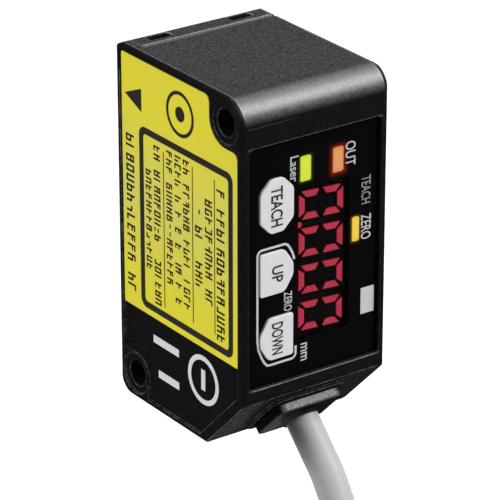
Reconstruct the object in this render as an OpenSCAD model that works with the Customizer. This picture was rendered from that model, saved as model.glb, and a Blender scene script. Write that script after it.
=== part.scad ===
// Compact laser photoelectric sensor: a slim cast case with a sensing window in front,
// an operation panel with a display and three keys behind, and a cable that leaves
// the heel at 45 degrees. X is the case's thin direction with the side label at +X,
// the sensing face looks towards -Y, the operation panel faces +Y and +Z is up.
// The origin lies midway between the two diagonal mounting holes.

/* [Body] */
// Thickness of the case, from the bare side to the label side
body_w = 20; // [19.5:0.5:24]
// Depth of the case, from the sensing face to the operation panel
body_d = 25; // [24.5:0.5:30]
// Height of the case
body_h = 44; // [43:0.5:52]
// Wall at the top, the bottom, the heel and the bare side
wall = 1.6; // [1.2:0.1:1.8]
// Wall on the label side
label_wall = 1.4; // [1.2:0.1:1.8]
// Wall behind the operation panel
panel_wall = 2.4; // [2.2:0.1:2.8]
// Rounding of the case's upright and cross edges
edge_r = 0.5; // [0.3:0.1:0.8]
// Large rounding between the top and the operation panel
crown_r = 3.2; // [2.4:0.1:3.6]
// Rounding between the bottom and the sensing face
toe_r = 2.8; // [2:0.1:3.2]
// Rounding between the top and the sensing face
brow_r = 1.2; // [0.8:0.1:1.6]
// Height and depth of the 45 degree heel between the bottom and the panel
heel = 7.5; // [7.2:0.1:8.5]

/* [Mounting holes] */
// Diameter of the two through holes
hole_d = 3.2; // [2.6:0.1:3.4]
// Height of each hole from its nearer end of the case
hole_end = 3.2; // [3:0.1:3.8]
// Distance of the lower hole from the sensing face
hole_front = 3.2; // [3:0.1:3.8]
// Distance of the upper hole from the operation panel side
hole_back = 3.6; // [3.3:0.1:4]
// Outer diameter of the cast tube round each hole
boss_d = 5.7; // [5.4:0.1:6.2]
// Diameter of the shallow seat round each hole's mouth
seat_d = 5; // [4.4:0.1:5.2]
// Depth of that seat
seat_depth = 0.3; // [0.1:0.1:0.5]

/* [Front cover] */
// Depth of the cover's wrap over the top and the bare side
cover_depth = 3.6; // [3.4:0.1:4.2]
// Thickness of the cover's front wall
cover_wall = 1.4; // [1.2:0.1:1.5]
// Thickness of the cover's wrap
wrap_wall = 1; // [0.8:0.1:1.2]
// Height of the cover's lower edge above the case's bottom
cover_foot = 6.3; // [6:0.1:7]
// Thickness of the gasket behind the front wall
gasket_t = 0.4; // [0.3:0.1:0.6]
// Width of the case's lip that the gasket seats on
lip_w = 0.8; // [0.6:0.1:1]
// Width of one latch window in the cover's wrap
latch_w = 3; // [2.4:0.1:3.6]
// Length of one latch window, front to back
latch_l = 1.3; // [1.1:0.1:1.5]
// Distance of the latch windows from the sensing face
latch_front = 1.05; // [0.9:0.05:1.2]
// Distance between the two latch windows' middles
latch_pitch = 11.3; // [9:0.1:12]
// Depth of the latch windows below the wrap's inner side, at the front wall
latch_relief = 0.2; // [0.1:0.05:0.4]
// Distance of the latch windows' common middle from the case's, towards the bare side
latch_offset = 0.45; // [0.2:0.05:0.7]
// Width of the bevel on each side of the parting groove
groove_bevel = 0.3; // [0.1:0.05:0.4]

/* [Windows and optics] */
// Height of the beam below the top of the case
beam_drop = 5.8; // [5.8:0.1:6.2]
// Diameter of the emitter window
emitter_window_d = 6; // [5:0.1:6.4]
// Thickness of both windows
window_t = 0.8; // [0.6:0.1:1]
// Ledge that carries each window
window_ledge = 0.7; // [0.5:0.1:0.9]
// Width of the receiver window
receiver_window_w = 12; // [10:0.5:13]
// Height of the receiver window
receiver_window_h = 17; // [14:0.5:18]
// Corner radius of the receiver window
receiver_window_r = 1.5; // [1:0.1:2]
// Height of the receiver window's middle above the cover's lower edge
receiver_window_rise = 12.4; // [11.5:0.1:13]
// Tilt of the receiver's axis up towards the beam, in degrees
receiver_tilt = 16; // [12:1:18]
// Width of the rim that holds the receiver lens
lens_rim = 0.8; // [0.6:0.1:1]
// Diameter of the diode sleeve
sleeve_d = 7.2; // [6.6:0.1:7.4]
// Diameter of the collimator lens
collimator_d = 4.4; // [4:0.1:4.8]
// Diameter of the diode's base
diode_d = 5.6; // [5.2:0.1:5.8]

/* [Side label] */
// Depth of the pocket in the label side
pocket_depth = 0.3; // [0.2:0.05:0.4]
// Border of that pocket at the sensing face, the top and the bottom
pocket_border = 0.8; // [0.6:0.1:1]
// Border of that pocket at the operation panel
pocket_back_border = 1.1; // [0.9:0.1:1.3]
// Border of that pocket along the heel
pocket_heel_border = 1.35; // [1:0.05:1.6]
// Reach of the raised pads round the holes
pad_reach = 2.6; // [2.5:0.1:2.8]
// Margin between the label and the pocket's edge
label_margin = 0.15; // [0.1:0.05:0.3]
// Thickness of the label
label_t = 0.12; // [0.08:0.02:0.18]
// Thickness of printed ink, on the label and on the panel
ink_t = 0.04; // [0.02:0.01:0.08]
// Height of the label
label_h = 31.2; // [29:0.2:32]
// Line width of the label's frame
frame_line = 0.8; // [0.5:0.1:1]
// Height of the label's frame
frame_h = 22.5; // [20:0.5:23]
// Distance of the label's frame from the label's edge at the panel
frame_back = 0.9; // [0.6:0.1:1.4]
// Distance of the label's frame from the label's edge at the sensing face
frame_front = 3.5; // [3:0.1:4.5]

/* [Operation panel] */
// Border of the panel at both long sides
panel_border = 0.9; // [0.8:0.05:1.2]
// Border of the panel at the top, above it the crown's rounding
panel_top_border = 5.5; // [5:0.1:6.2]
// Border of the panel above the heel
panel_foot_border = 1.7; // [1.4:0.1:2]
// Depth of the panel's face below the case's
panel_sink = 0.5; // [0.3:0.1:0.7]
// Thickness of the panel
panel_t = 1; // [0.8:0.1:1.1]
// Corner radius of the panel
panel_r = 0.7; // [0.4:0.1:1]

/* [Display] */
// Length of the four numerals' field, as a share of the panel's height
display_share = 0.6283; // [0.58:0.0001:0.635]
// Width of one numeral, as a share of the distance to the next
digit_share = 0.78; // [0.7:0.01:0.83]
// Border of the display round its numerals
digit_border = 0.45; // [0.35:0.05:0.6]
// Width of one bar of a numeral
bar_w = 0.88; // [0.7:0.02:1]
// Gap between the bars
bar_gap = 0.2; // [0.1:0.02:0.24]
// Lean of the numerals, in degrees
bar_lean = 3.5; // [0:0.5:6]
// Distance of the numerals' middle from the panel's, as a share of the panel's width
display_side_share = 0.0802; // [0.076:0.0001:0.083]
// Distance of the display's middle below the panel's top edge, as a share of its height
display_drop_share = 0.5373; // [0.53:0.0001:0.545]
// Thickness of the smoked window over the display
display_window_t = 0.3; // [0.2:0.05:0.5]
// Gap between the display and the keys' rims
display_gap = 0.4; // [0.3:0.05:0.6]

/* [Keys] */
// Width of each key, as a share of the panel's width
key_w_share = 0.2527; // [0.22:0.0001:0.256]
// Distance of the keys' middle from the panel's, as a share of the panel's width
key_side_share = 0.2802; // [0.28:0.0001:0.29]
// Height of the upper key, as a share of the panel's height
teach_h_share = 0.2218; // [0.2:0.0001:0.23]
// Height of the two lower keys, as a share of the panel's height
step_h_share = 0.1775; // [0.157:0.0001:0.184]
// Distances of the three keys' middles below the panel's top edge, as shares of its height
key_drop_shares = [0.2577, 0.5341, 0.8089];
// Height of the keys' faces above the panel
key_proud = 0.2; // [0.1:0.05:0.3]
// Travel of each key
key_travel = 0.3; // [0.2:0.05:0.35]
// Width of the rim that keeps each key behind the panel
key_rim = 0.3; // [0.2:0.05:0.3]

/* [Indicators] */
// Width of the two large lights
light_w = 1.6; // [1.2:0.1:1.8]
// Length of all lights, as a share of the panel's height
light_l_share = 0.1024; // [0.08:0.0001:0.109]
// Width of the two small lights
small_light_w = 1.1; // [0.8:0.1:1.2]
// Distance of the large lights' middle below the panel's top edge, as a share of its height
light_drop_share = 0.14; // [0.13:0.0001:0.143]

/* [Cable] */
// Diameter of the cable
cable_d = 4; // [3.6:0.1:4.2]
// Width of the gland's flange across the case
gland_w = 9.1; // [8.4:0.1:9.8]
// Width of the gland's flange along the heel
gland_l = 7; // [6.6:0.1:7.4]
// Thickness of the gland's flange
gland_t = 1.1; // [0.9:0.1:1.4]
// Height of the case's raised pad under the gland
gland_pad = 0.4; // [0.3:0.1:0.5]
// Width of the gland's plug across the case
plug_w = 6.8; // [6.4:0.1:7.2]
// Width of the gland's plug along the heel
plug_l = 5.2; // [5:0.1:5.6]
// Number of the stored coil's turns side by side
coil_lanes = 4; // [3:1:5]
// Number of the stored coil's layers
coil_layers = 4; // [3:1:5]
// Radius of the coil's innermost turn, at the cable's middle
coil_r = 14.3; // [13:0.1:16]
// Diameter of one insulated lead
lead_d = 1.1; // [0.9:0.1:1.2]
// Length of the bared leads at the cable's end
lead_l = 24; // [20:1:30]

/* [Fits] */
// Gap between parts that are dropped into one another
fit = 0.05; // [0.03:0.01:0.1]
// Gap round the panel's edge and round each key
panel_fit = 0.1; // [0.06:0.01:0.16]

/* [Hidden] */
$fn = 64;
SMALL = 0.01;
OVER = 1;
hx = body_w / 2;
hole_pitch_y = body_d - hole_front - hole_back;
hole_pitch_z = body_h - 2 * hole_end;
y_front = -hole_pitch_y / 2 - hole_front;
y_back = hole_pitch_y / 2 + hole_back;
z_top = body_h / 2;
z_bottom = -body_h / 2;
upper_hole = [hole_pitch_y / 2, hole_pitch_z / 2];
lower_hole = [-hole_pitch_y / 2, -hole_pitch_z / 2];

// Inside of the case
x_bare_in = -hx + wall;
x_label_in = hx - label_wall;
y_back_in = y_back - panel_wall;
z_top_in = z_top - wall;
z_bottom_in = z_bottom + wall;

// Front cover and the lip behind it
y_cover_back = y_front + cover_depth;
y_cover_in = y_front + cover_wall;
y_lip = y_cover_in + gasket_t;
z_cover_foot = z_bottom + cover_foot;
x_lip_bare = -hx + wrap_wall + fit;
z_lip_top = z_top - wrap_wall - fit;
x_mouth = [x_lip_bare + lip_w, x_label_in - lip_w];
z_mouth = [z_cover_foot + lip_w, z_lip_top - lip_w];

// Side label
x_pocket = hx - pocket_depth;
x_ink = x_pocket + label_t;
label_y = [y_front + pocket_border + label_margin, y_back - pocket_back_border - label_margin];
label_z = [z_top - pocket_border - label_margin - label_h, z_top - pocket_border - label_margin];
label_r = 0.25;
scallop_r = pad_reach + 3 * label_margin;
frame_foot = 0.8;
frame_r = 1.1;
pointer_at = 0.7;
pointer = [3.3, 1.4];

// Operation panel, from its face inwards
z_panel = [z_bottom + heel + panel_foot_border, z_top - panel_top_border];
x_panel = hx - panel_border;
panel_w = 2 * x_panel;
panel_h = z_panel[1] - z_panel[0];
y_face = y_back - panel_sink;
y_panel_in = y_face - panel_t;

// Keys and display across and along the panel. The display ends beside the keys' rims
key_w = key_w_share * panel_w;
key_side = key_side_share * panel_w;
teach_h = teach_h_share * panel_h;
step_h = step_h_share * panel_h;
key_mids = [for (share = key_drop_shares) z_panel[1] - share * panel_h];
display_side = display_side_share * panel_w;
display_z = z_panel[1] - display_drop_share * panel_h;
module_w = 2 * (key_side - key_w / 2 - key_rim - display_gap + display_side);
module_h = display_share * panel_h;
digit_h = module_w - 2 * digit_border;
digit_pitch = (module_h - 2.8 * digit_border) / (3 + digit_share);
digit_w = digit_share * digit_pitch;

// Keys, switches and board behind the panel
rim_t = 0.4;
rim_slack = 0.05;
y_rim = y_panel_in - rim_slack;
y_key_in = y_rim - rim_t;
key_stem_d = 2;
key_stem_l = 0.8;
switch_slack = key_travel + 0.05;
switch_button_l = 0.3;
switch_button_d = 1.6;
switch_body = [3.4, 3.4, 1];
y_board = y_key_in - key_stem_l - switch_slack - switch_button_l - switch_body[2];
board_t = 0.8;
display_t = y_face - display_window_t - fit - y_board;
digit_relief = 0.12;
y_carrier_out = y_back_in;
opening_border = 1.05;
opening_x = x_panel - opening_border;
opening_z = [z_panel[0] + opening_border, z_panel[1] - opening_border];
light_l = light_l_share * panel_h;
light_r = 0.36 * small_light_w;
light_drop = light_drop_share * panel_h;
large_light_sides = [0.0604, -0.1868] * panel_w;
small_light_side = -0.3269 * panel_w;
small_light_drops = [0.29, 0.4505] * panel_h;

// Laser's sleeve and the room for its board in front of the upper hole's tube
z_beam = z_top - beam_drop;
optics_slack = 0.5;
sleeve_in = 4.4;
sleeve_front = y_cover_in + sleeve_in;
laser_room = 3.25;
sleeve_l = upper_hole[0] - boss_d / 2 - laser_room - sleeve_front;
sleeve_step = 0.6;
collimator_t = 2;
diode_base_t = 1.2;
diode_cap_d = 3.5;
diode_cap_l = 2.2;
diode_pin_d = 0.45;
laser_board_t = 0.8;

// Web that carries both optical paths, and the main board beside it
block_back = sleeve_front + sleeve_l - sleeve_step;
board_gap = 0.35;
block_top = z_mouth[1] - board_gap;
block_side = 4.2;
block_wall = 0.8;
web_t = 1.4;
web_x = [x_mouth[0] + sleeve_step, x_mouth[0] + sleeve_step + web_t];
web_z = [z_mouth[0] + optics_slack, block_top];
web_in = 0.9;
web_front = y_cover_in + web_in;
web_back = block_back;
main_board_in = 2;
main_board_x = [x_mouth[1] - 2 * board_gap - board_t, x_mouth[1] - 2 * board_gap];
main_board_y = [web_front + main_board_in, y_board - board_t - optics_slack];
main_board_z = [web_z[0] + sleeve_step, upper_hole[1] - boss_d / 2 - sleeve_step];

// Receiver: the lens block takes the width beside the main board, and the image sensor
// stands in front of the display board
lens_at = [web_front + sleeve_in, z_cover_foot + receiver_window_rise + sleeve_step];
lens_t = 3;
lens_stop = 0.5;
holder_l = 4;
lens_block_w = 2 * (main_board_x[0] - board_gap);
lens_holder_d = lens_block_w - 0.9;
receiver_lens_d = lens_holder_d - 2 * lens_rim;
lens_block = [lens_block_w, 3.6, lens_holder_d + 2 * block_wall];
sensor_wall_t = 0.9;
sensor_wall_side = lens_holder_d / 2 - 0.1;
chip = [lens_holder_d - 2.4, 1, 4.6];
sensor_board_size = [lens_holder_d, 0.8, 8.4];
sensor_room = y_board - board_t - optics_slack - lens_at[0] - sensor_board_size[2] / 2 * sin(receiver_tilt);
sensor_gap = sensor_room / cos(receiver_tilt) - sensor_wall_t - chip[1] - sensor_board_size[1];
rail_t = 2;
post_l = 0.9;
rail_x = main_board_x[0] - post_l - rail_t;
post_d = 2.4;
post_in = 1.9;
post_rise = 3.4;
post_pitch = 18;
board_post_z = [main_board_z[0] + post_rise, main_board_z[0] + post_rise + post_pitch];
screw_d = 1.4;
screw_head_d = 2.6;
screw_head_t = 0.8;
screw_l = 2.4;
board_screw_head_t = 0.5;

// Header between the boards, and the flexible strips to the main board
header_rises = [3.2, 6];
header_l = 1.2;
header_t = 2;
flex_t = 0.2;
flex_w = 3;
flex_lap = 1.6;
flex_in = 2;
flex_drop = 2.4;
sensor_stack = sensor_gap + sensor_wall_t + chip[1] + sensor_board_size[1];

// Packages on the main board, the processor first: how high their middles stand above the
// board's foot, their lengths, heights and thicknesses. They start behind the lens block,
// and the processor ends before the sensor's strip
package_front = lens_at[0] + lens_block[1] / 2 * cos(receiver_tilt)
    + lens_block[2] / 2 * sin(receiver_tilt) + board_gap;
strip_front = lens_at[0] + (sensor_stack - flex_lap) * cos(receiver_tilt)
    - flex_w / 2 * sin(receiver_tilt);
package_rises = [10.8, 17.2, 23.2];
package_lengths = [strip_front - package_front - 2 * optics_slack, 3, 2.6];
package_heights = [5, 4, 3];
package_ts = [0.8, 0.7, 0.7];

// Lugs inside the case that the optical block is screwed to
lug = [3.2, 5, 3.2];
y_lug = web_back - 3.5;

// Heel, gland and cable. Out of the heel means along its outward normal
heel_mid = [0, y_back - heel / 2, z_bottom + heel / 2];
gland_hole_d = cable_d + 2 * fit;
gland_r = 1.2;
plug_depth = wall + 0.9;
gland_face = gland_pad + gland_t;
nose_l = 0.5;
nose_d = cable_d + 0.8;
cable_start = gland_face + nose_l;
inlet_l = plug_depth + 2.6;
clamp_l = 1.6;
clamp_d = cable_d + 1.4;
pad_margin = 0.65;

// Route of the hanging cable from its exit to the coil's top, along its middle line
exit_point = heel_mid + cable_start / sqrt(2) * [0, 1, -1];
lead_in = [
    [0, 0, 0], [0, 2.9, -2.9], [0.1, 5.7, -5.7], [0.5, 9.2, -10.9], [1.4, 10.4, -17], [2.7, 9.2, -23.1],
    [4.2, 5.7, -28.3], [5.4, 0.5, -31.8], [6.1, -5.6, -33]
];
cord_sides = 8;

// Stored coil: its axis lies along X, the lead-in enters at its top and the end leaves
// at the sensing side
turn_pitch = cable_d * 1.02;
coil_w = coil_lanes * turn_pitch;
coil_inner = coil_r - cable_d / 2;
coil_outer = coil_r + (coil_layers - 1) * turn_pitch + cable_d / 2;
lead_in_end = exit_point + lead_in[len(lead_in) - 1];
coil_mid = [0, lead_in_end[1], lead_in_end[2] + cable_d / 2 - coil_outer];
tail_start = coil_mid + [(turn_pitch - coil_w) / 2, cable_d / 2 - coil_outer, 0];
tail = [[0, 0, 0], [0, -0.3, -6], [-0.2, -1, -12], [-0.4, -1.8, -18]];
tie_w = 4;
tie_t = 0.8;
tie_gap = 0.3;
tie_turn = 24;

// Bared leads, in a ring round the cable's middle
lead_ring_r = lead_d * 0.9;
lead_steps = 5;
lead_spread = 0.22;
lead_colours = ["#6b4226", "#2456a8", "#1c1c1e", "#d98aa0", "#8d9196"];
inner_lead_angles = [270, 198, 342, 126, 54];

// Connector inside the case that takes the cable's leads
way = lead_d + 0.15;
cable_plug = [2.6, len(lead_colours) * way + 0.6, 2.4];
cable_plug_mid = [main_board_x[0] - cable_plug[0] / 2, main_board_y[1] - 0.3 - cable_plug[1] / 2,
    main_board_z[0] + 0.2 + cable_plug[2] / 2];

// Functions

// Corner b of an outline a, b, c, rounded to radius r with n steps
function rounded_corner(a, b, c, r, n = 6) =
    let (
        u = (a - b) / norm(a - b), v = (c - b) / norm(c - b),
        half = acos(u * v) / 2,
        middle = b + (u + v) / norm(u + v) * r / sin(half),
        start = b + u * r / tan(half) - middle,
        finish = b + v * r / tan(half) - middle
    )
    [for (i = [0:n])
        let (w = i / n, d = start * sin((1 - w) * (180 - 2 * half)) + finish * sin(w * (180 - 2 * half)))
        middle + d / norm(d) * r];

// A closed outline whose corners [x, y, radius] are rounded
function rounded_outline(corners) =
    let (n = len(corners), p = [for (c = corners) [c[0], c[1]]])
    [for (i = [0:n - 1]) each
        rounded_corner(p[(i + n - 1) % n], p[i], p[(i + 1) % n], corners[i][2])];

// Outline of a key as corners round its middle, grown outwards by g.
// It is listed with x towards the label side and z up
function teach_corners(g) =
    let (
        w = key_w / 2 + g, h = teach_h / 2 + g,
        cut = 0.315 * key_w + 0.586 * g, r = 0.1957 * key_w + g
    )
    [[w - cut, h, r], [-w + cut, h, r], [-w, h - cut, r], [-w, -h + cut, r],
     [-w + cut, -h, r], [w - cut, -h, r], [w, -h + cut, r], [w, h - cut, r]];
function step_corners(g, side) =
    let (
        w = key_w / 2 + g, h = step_h / 2 + g,
        cut = 0.261 * key_w + 0.4 * g, rise = 0.365 * step_h + 0.8 * g,
        r = 0.058 * step_h + g, top_r = 0.192 * step_h + g, side_r = 0.269 * step_h + g
    )
    [[side * w, h, r], [side * (cut - w), h, top_r], [-side * w, h - rise, side_r],
     [-side * w, -h + rise, side_r], [side * (cut - w), -h, top_r], [side * w, -h, r]];
function key_corners(i, g) = i == 0 ? teach_corners(g) : step_corners(g, i == 1 ? 1 : -1);

// Modules that place things

// Draws a (y, z) outline and runs it along X
module along_x(x0, x1) {
    translate([x0, 0, 0]) rotate([90, 0, 90]) linear_extrude(x1 - x0) children();
}
// Draws an (x, z) outline and runs it along Y
module along_y(y0, y1) {
    translate([0, y1, 0]) rotate([90, 0, 0]) linear_extrude(y1 - y0) children();
}
module along_z(z0, z1) {
    translate([0, 0, z0]) linear_extrude(z1 - z0) children();
}
// A box between two corners
module block(low, high) {
    translate(low) cube(high - low);
}
// A round bar along Y
module bar_y(x, z, y0, y1, d) {
    translate([x, y0, z]) rotate([-90, 0, 0]) cylinder(h = y1 - y0, d = d);
}
// A round bar along X
module bar_x(y, z, x0, x1, d) {
    translate([x0, y, z]) rotate([0, 90, 0]) cylinder(h = x1 - x0, d = d);
}
// Turns Z into the heel's outward normal, with X kept and Y running down the slope
module on_heel() {
    translate(heel_mid) rotate([-135, 0, 0]) children();
}
// Puts the receiver's axis along -Y, with the origin at the lens
module on_receiver() {
    translate([0, lens_at[0], lens_at[1]]) rotate([-receiver_tilt, 0, 0]) children();
}

// A rectangle between two corners with all corners rounded
module rounded_rect(low, high, r) {
    difference() {
        translate(low) square(high - low);
        corner_cut(low, [0, 0], r);
        corner_cut([high[0], low[1]], [1, 0], r);
        corner_cut([low[0], high[1]], [0, 1], r);
        corner_cut(high, [1, 1], r);
    }
}
// What a rounding of radius r takes off a corner; flip says which way the corner points
module corner_cut(at, flip, r) {
    translate(at) mirror([flip[0], 0]) mirror([0, flip[1]]) difference() {
        translate([-OVER, -OVER]) square(r + OVER);
        translate([r, r]) circle(r);
    }
}

// The case's outline from the side, moved inwards by a distance, and by another at the heel
module side_outline(in, heel_in) {
    difference() {
        translate([y_front + in, z_bottom + in]) square([body_d - 2 * in, body_h - 2 * in]);
        corner_cut([y_front + in, z_bottom + in], [0, 0], max(toe_r - in, 0.2));
        corner_cut([y_front + in, z_top - in], [0, 1], max(brow_r - in, 0.2));
        corner_cut([y_back - in, z_top - in], [1, 1], max(crown_r - in, 0.2));
        // Everything below the heel's 45 degree line
        translate([y_back - heel - heel_in * sqrt(2), z_bottom]) rotate(45)
            translate([-body_d, -2 * body_d]) square([3 * body_d, 2 * body_d]);
    }
}

// The case's outer form, with every edge rounded
module body_form() {
    intersection() {
        along_x(-hx, hx) side_outline(0, 0);
        along_z(z_bottom, z_top) rounded_rect([-hx, y_front], [hx, y_back], edge_r);
        along_y(y_front, y_back) rounded_rect([-hx, z_bottom], [hx, z_top], edge_r);
    }
}

// Pad outline round a hole, reaching its two outer edges; dir points to the outer corner
module hole_pad(hole, dir, r) {
    far = body_d;
    translate(hole) {
        circle(r);
        translate([dir[0] > 0 ? 0 : -far, dir[1] > 0 ? -r : 0]) square([far, dir[1] > 0 ? far : r]);
        translate([dir[0] > 0 ? -r : 0, dir[1] > 0 ? 0 : -far]) square([dir[0] > 0 ? far : r, far]);
    }
}

module label_outline() {
    difference() {
        rounded_rect([label_y[0], label_z[0]], [label_y[1], label_z[1]], label_r);
        hole_pad(upper_hole, [1, 1], scallop_r);
    }
}

module key_outline(i, g) {
    translate([key_side, key_mids[i]])
        polygon(rounded_outline(key_corners(i, g)));
}

// Everything that shines through the panel, as outlines grown by g
module light_outline(side, drop, w, g) {
    translate([side, z_panel[1] - drop])
        rounded_rect([-w / 2 - g, -light_l / 2 - g], [w / 2 + g, light_l / 2 + g], light_r + g);
}
module laser_light_outline(g) { light_outline(large_light_sides[0], light_drop, light_w, g); }
module output_light_outline(g) { light_outline(large_light_sides[1], light_drop, light_w, g); }
module teach_light_outline(g) { light_outline(small_light_side, small_light_drops[0], small_light_w, g); }
module zero_light_outline(g) { light_outline(small_light_side, small_light_drops[1], small_light_w, g); }
module all_light_outlines(g) {
    laser_light_outline(g);
    output_light_outline(g);
    teach_light_outline(g);
    zero_light_outline(g);
}
module display_outline(g) {
    rounded_rect([-display_side - module_w / 2 - g, display_z - module_h / 2 - g],
        [-display_side + module_w / 2 + g, display_z + module_h / 2 + g], 0.3);
}

// Case and cover

module housing() {
    color("#2b2c2f") difference() {
        union() {
            difference() {
                body_form();
                // Room for the front cover, but not for the lip behind it
                difference() {
                    block([-hx - OVER, y_front - OVER, z_cover_foot],
                        [x_label_in, y_cover_back, z_top + OVER]);
                    block([x_lip_bare, y_lip, z_cover_foot - OVER],
                        [x_label_in + OVER, y_cover_back + OVER, z_lip_top]);
                }
            }
            latch_noses();
            on_heel() gland_pad_form();
        }
        interior();
        groove_bevels(y_cover_back);
        label_pocket();
        panel_pocket();
        mounting_holes();
        on_heel() translate([0, 0, -plug_depth - OVER]) linear_extrude(plug_depth + 2 * OVER)
            rounded_rect([-plug_w / 2 - fit, -plug_l / 2 - fit], [plug_w / 2 + fit, plug_l / 2 + fit], 1);
    }
}

// The hollow, less the tubes round the holes and the two lugs
module interior() {
    difference() {
        along_x(x_bare_in, x_label_in) difference() {
            intersection() {
                side_outline(wall, wall);
                translate([y_cover_back, z_bottom]) square([y_back_in - y_cover_back, body_h]);
            }
            translate(upper_hole) circle(d = boss_d);
            translate(lower_hole) circle(d = boss_d);
        }
        lugs();
    }
    // The mouth in the lip
    difference() {
        block([x_mouth[0], y_front - OVER, z_mouth[0]], [x_mouth[1], y_cover_back + SMALL, z_mouth[1]]);
        bar_x(lower_hole[0], lower_hole[1], -hx, hx, boss_d);
    }
}

// Two lugs that grow from the walls, with pilot holes for the block's screws
module lugs() {
    difference() {
        union() {
            block([x_label_in - lug[0], y_lug, z_top_in - lug[2]],
                [x_label_in + OVER, y_lug + lug[1], z_top_in + OVER]);
            block([x_bare_in - OVER, y_lug, z_bottom_in - OVER],
                [x_bare_in + lug[0], y_lug + lug[1], z_bottom_in + lug[2]]);
        }
        for (at = screw_places) bar_y(at[0], at[1], y_lug - OVER, y_lug + lug[1] - 0.8, screw_d);
    }
}
screw_places = [
    [x_label_in - lug[0] / 2, z_top_in - lug[2] / 2],
    [x_bare_in + lug[0] / 2, z_bottom_in + lug[2] / 2]
];

// Wedges on the lip that snap into the cover's latch windows
module latch_noses() {
    nose_h = wrap_wall * 0.55;
    y0 = y_front + latch_front + 0.25;
    y1 = y_front + latch_front + latch_l - 0.1;
    for (side = [-1, 1])
        translate([-latch_offset + side * latch_pitch / 2, 0, 0])
            along_x(-latch_w / 2 + 0.2, latch_w / 2 - 0.2)
                polygon([[max(y0, y_lip), z_lip_top - 0.3], [y1, z_lip_top - 0.3],
                    [y1, z_lip_top + nose_h], [y1 - 0.3, z_lip_top + nose_h], [max(y0, y_lip), z_lip_top]]);
}

module bevel_bar(length) {
    rotate([45, 0, 0]) translate([0, -groove_bevel * sqrt(0.5), -groove_bevel * sqrt(0.5)])
        cube([length, groove_bevel * sqrt(2), groove_bevel * sqrt(2)]);
}
// The bevel beside the parting groove, over the top and down the bare side
module groove_bevels(y) {
    translate([-hx - OVER, y, z_top]) bevel_bar(x_label_in + hx + OVER);
    translate([-hx, y, z_cover_foot]) rotate([0, -90, 0]) bevel_bar(body_h);
}
module label_pocket() {
    along_x(x_pocket, hx + OVER) difference() {
        side_outline(pocket_border, pocket_heel_border);
        translate([y_back - pocket_back_border, z_bottom]) square([body_d, body_h]);
        hole_pad(upper_hole, [1, 1], pad_reach);
        hole_pad(lower_hole, [-1, -1], pad_reach);
    }
}

// The sunk seat of the operation panel, and the opening inside it
module panel_pocket() {
    along_y(y_panel_in, y_back + OVER)
        rounded_rect([-x_panel, z_panel[0]], [x_panel, z_panel[1]], panel_r);
    along_y(y_back_in - OVER, y_back)
        rounded_rect([-opening_x, opening_z[0]], [opening_x, opening_z[1]], panel_r);
}

module mounting_holes() {
    for (hole = [upper_hole, lower_hole]) {
        bar_x(hole[0], hole[1], -hx - OVER, hx + OVER, hole_d);
        bar_x(hole[0], hole[1], hx - seat_depth, hx + OVER, seat_d);
        bar_x(hole[0], hole[1], -hx - OVER, -hx + seat_depth, seat_d);
    }
}

// Raised pad on the heel, from inside the wall out to the gland's seat
module gland_pad_form() {
    translate([0, 0, -wall / 2]) linear_extrude(wall / 2 + gland_pad)
        rounded_rect([-gland_w / 2 - pad_margin, -gland_l / 2 - pad_margin],
            [gland_w / 2 + pad_margin, gland_l / 2 + pad_margin], gland_r);
}

module front_cover() {
    color("#1d1e20") difference() {
        intersection() {
            body_form();
            block([-hx - OVER, y_front - OVER, z_cover_foot + fit],
                [x_label_in - fit, y_cover_back - fit, z_top + OVER]);
        }
        block([-hx + wrap_wall, y_cover_in, z_cover_foot - OVER],
            [hx, y_cover_back + OVER, z_top - wrap_wall]);
        // Latch windows in the wrap
        for (side = [-1, 1])
            translate([-latch_offset + side * latch_pitch / 2, y_front + latch_front, z_top])
                block([-latch_w / 2, 0, -wrap_wall - latch_relief], [latch_w / 2, latch_l, OVER]);
        groove_bevels(y_cover_back - fit);
        // Stepped openings for both windows
        bar_y(0, z_beam, y_front - OVER, y_cover_in + OVER, emitter_window_d - 2 * window_ledge);
        bar_y(0, z_beam, y_front - OVER, y_front + window_t, emitter_window_d);
        along_y(y_front - OVER, y_cover_in + OVER) receiver_opening(-window_ledge);
        along_y(y_front - OVER, y_front + window_t) receiver_opening(0);
    }
}

module receiver_opening(g) {
    z = z_cover_foot + receiver_window_rise;
    w = receiver_window_w / 2 + g;
    h = receiver_window_h / 2 + g;
    translate([0, z]) rounded_rect([-w, -h], [w, h], receiver_window_r);
}

module cover_gasket() {
    color("#3a3a3c") along_y(y_cover_in, y_lip) difference() {
        translate([x_lip_bare, z_cover_foot + fit])
            square([x_label_in - fit - x_lip_bare, z_lip_top - z_cover_foot - fit]);
        translate([x_mouth[0], z_mouth[0]]) square([x_mouth[1] - x_mouth[0], z_mouth[1] - z_mouth[0]]);
    }
}

module emitter_window() {
    color("#55606a") bar_y(0, z_beam, y_front, y_front + window_t, emitter_window_d - 2 * fit);
}
module receiver_window() {
    color("#3c2226") along_y(y_front, y_front + window_t) receiver_opening(-fit);
}

// Label and print

module side_label() {
    color("#e4d84a") along_x(x_pocket, x_ink) label_outline();
}

// The frame, a pointer at the beam's height and plain bars in place of writing
module label_print() {
    frame_low = [label_y[0] + frame_front, label_z[0] + frame_foot];
    frame_high = [label_y[1] - frame_back, frame_low[1] + frame_h];
    line = [frame_line, frame_line];
    color("#2a2418") along_x(x_ink, x_ink + ink_t) {
        difference() {
            rounded_rect(frame_low, frame_high, frame_r);
            rounded_rect(frame_low + line, frame_high - line, frame_r / 2);
        }
        translate([label_y[0] + pointer_at, z_beam]) polygon([[0, 0], pointer, [pointer[0], -pointer[1]]]);
    }
}

module panel_print() {
    color("#e9e9ea") along_y(y_face, y_face + ink_t) {
        bracket_outline();
        mark_box();
    }
}
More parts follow.
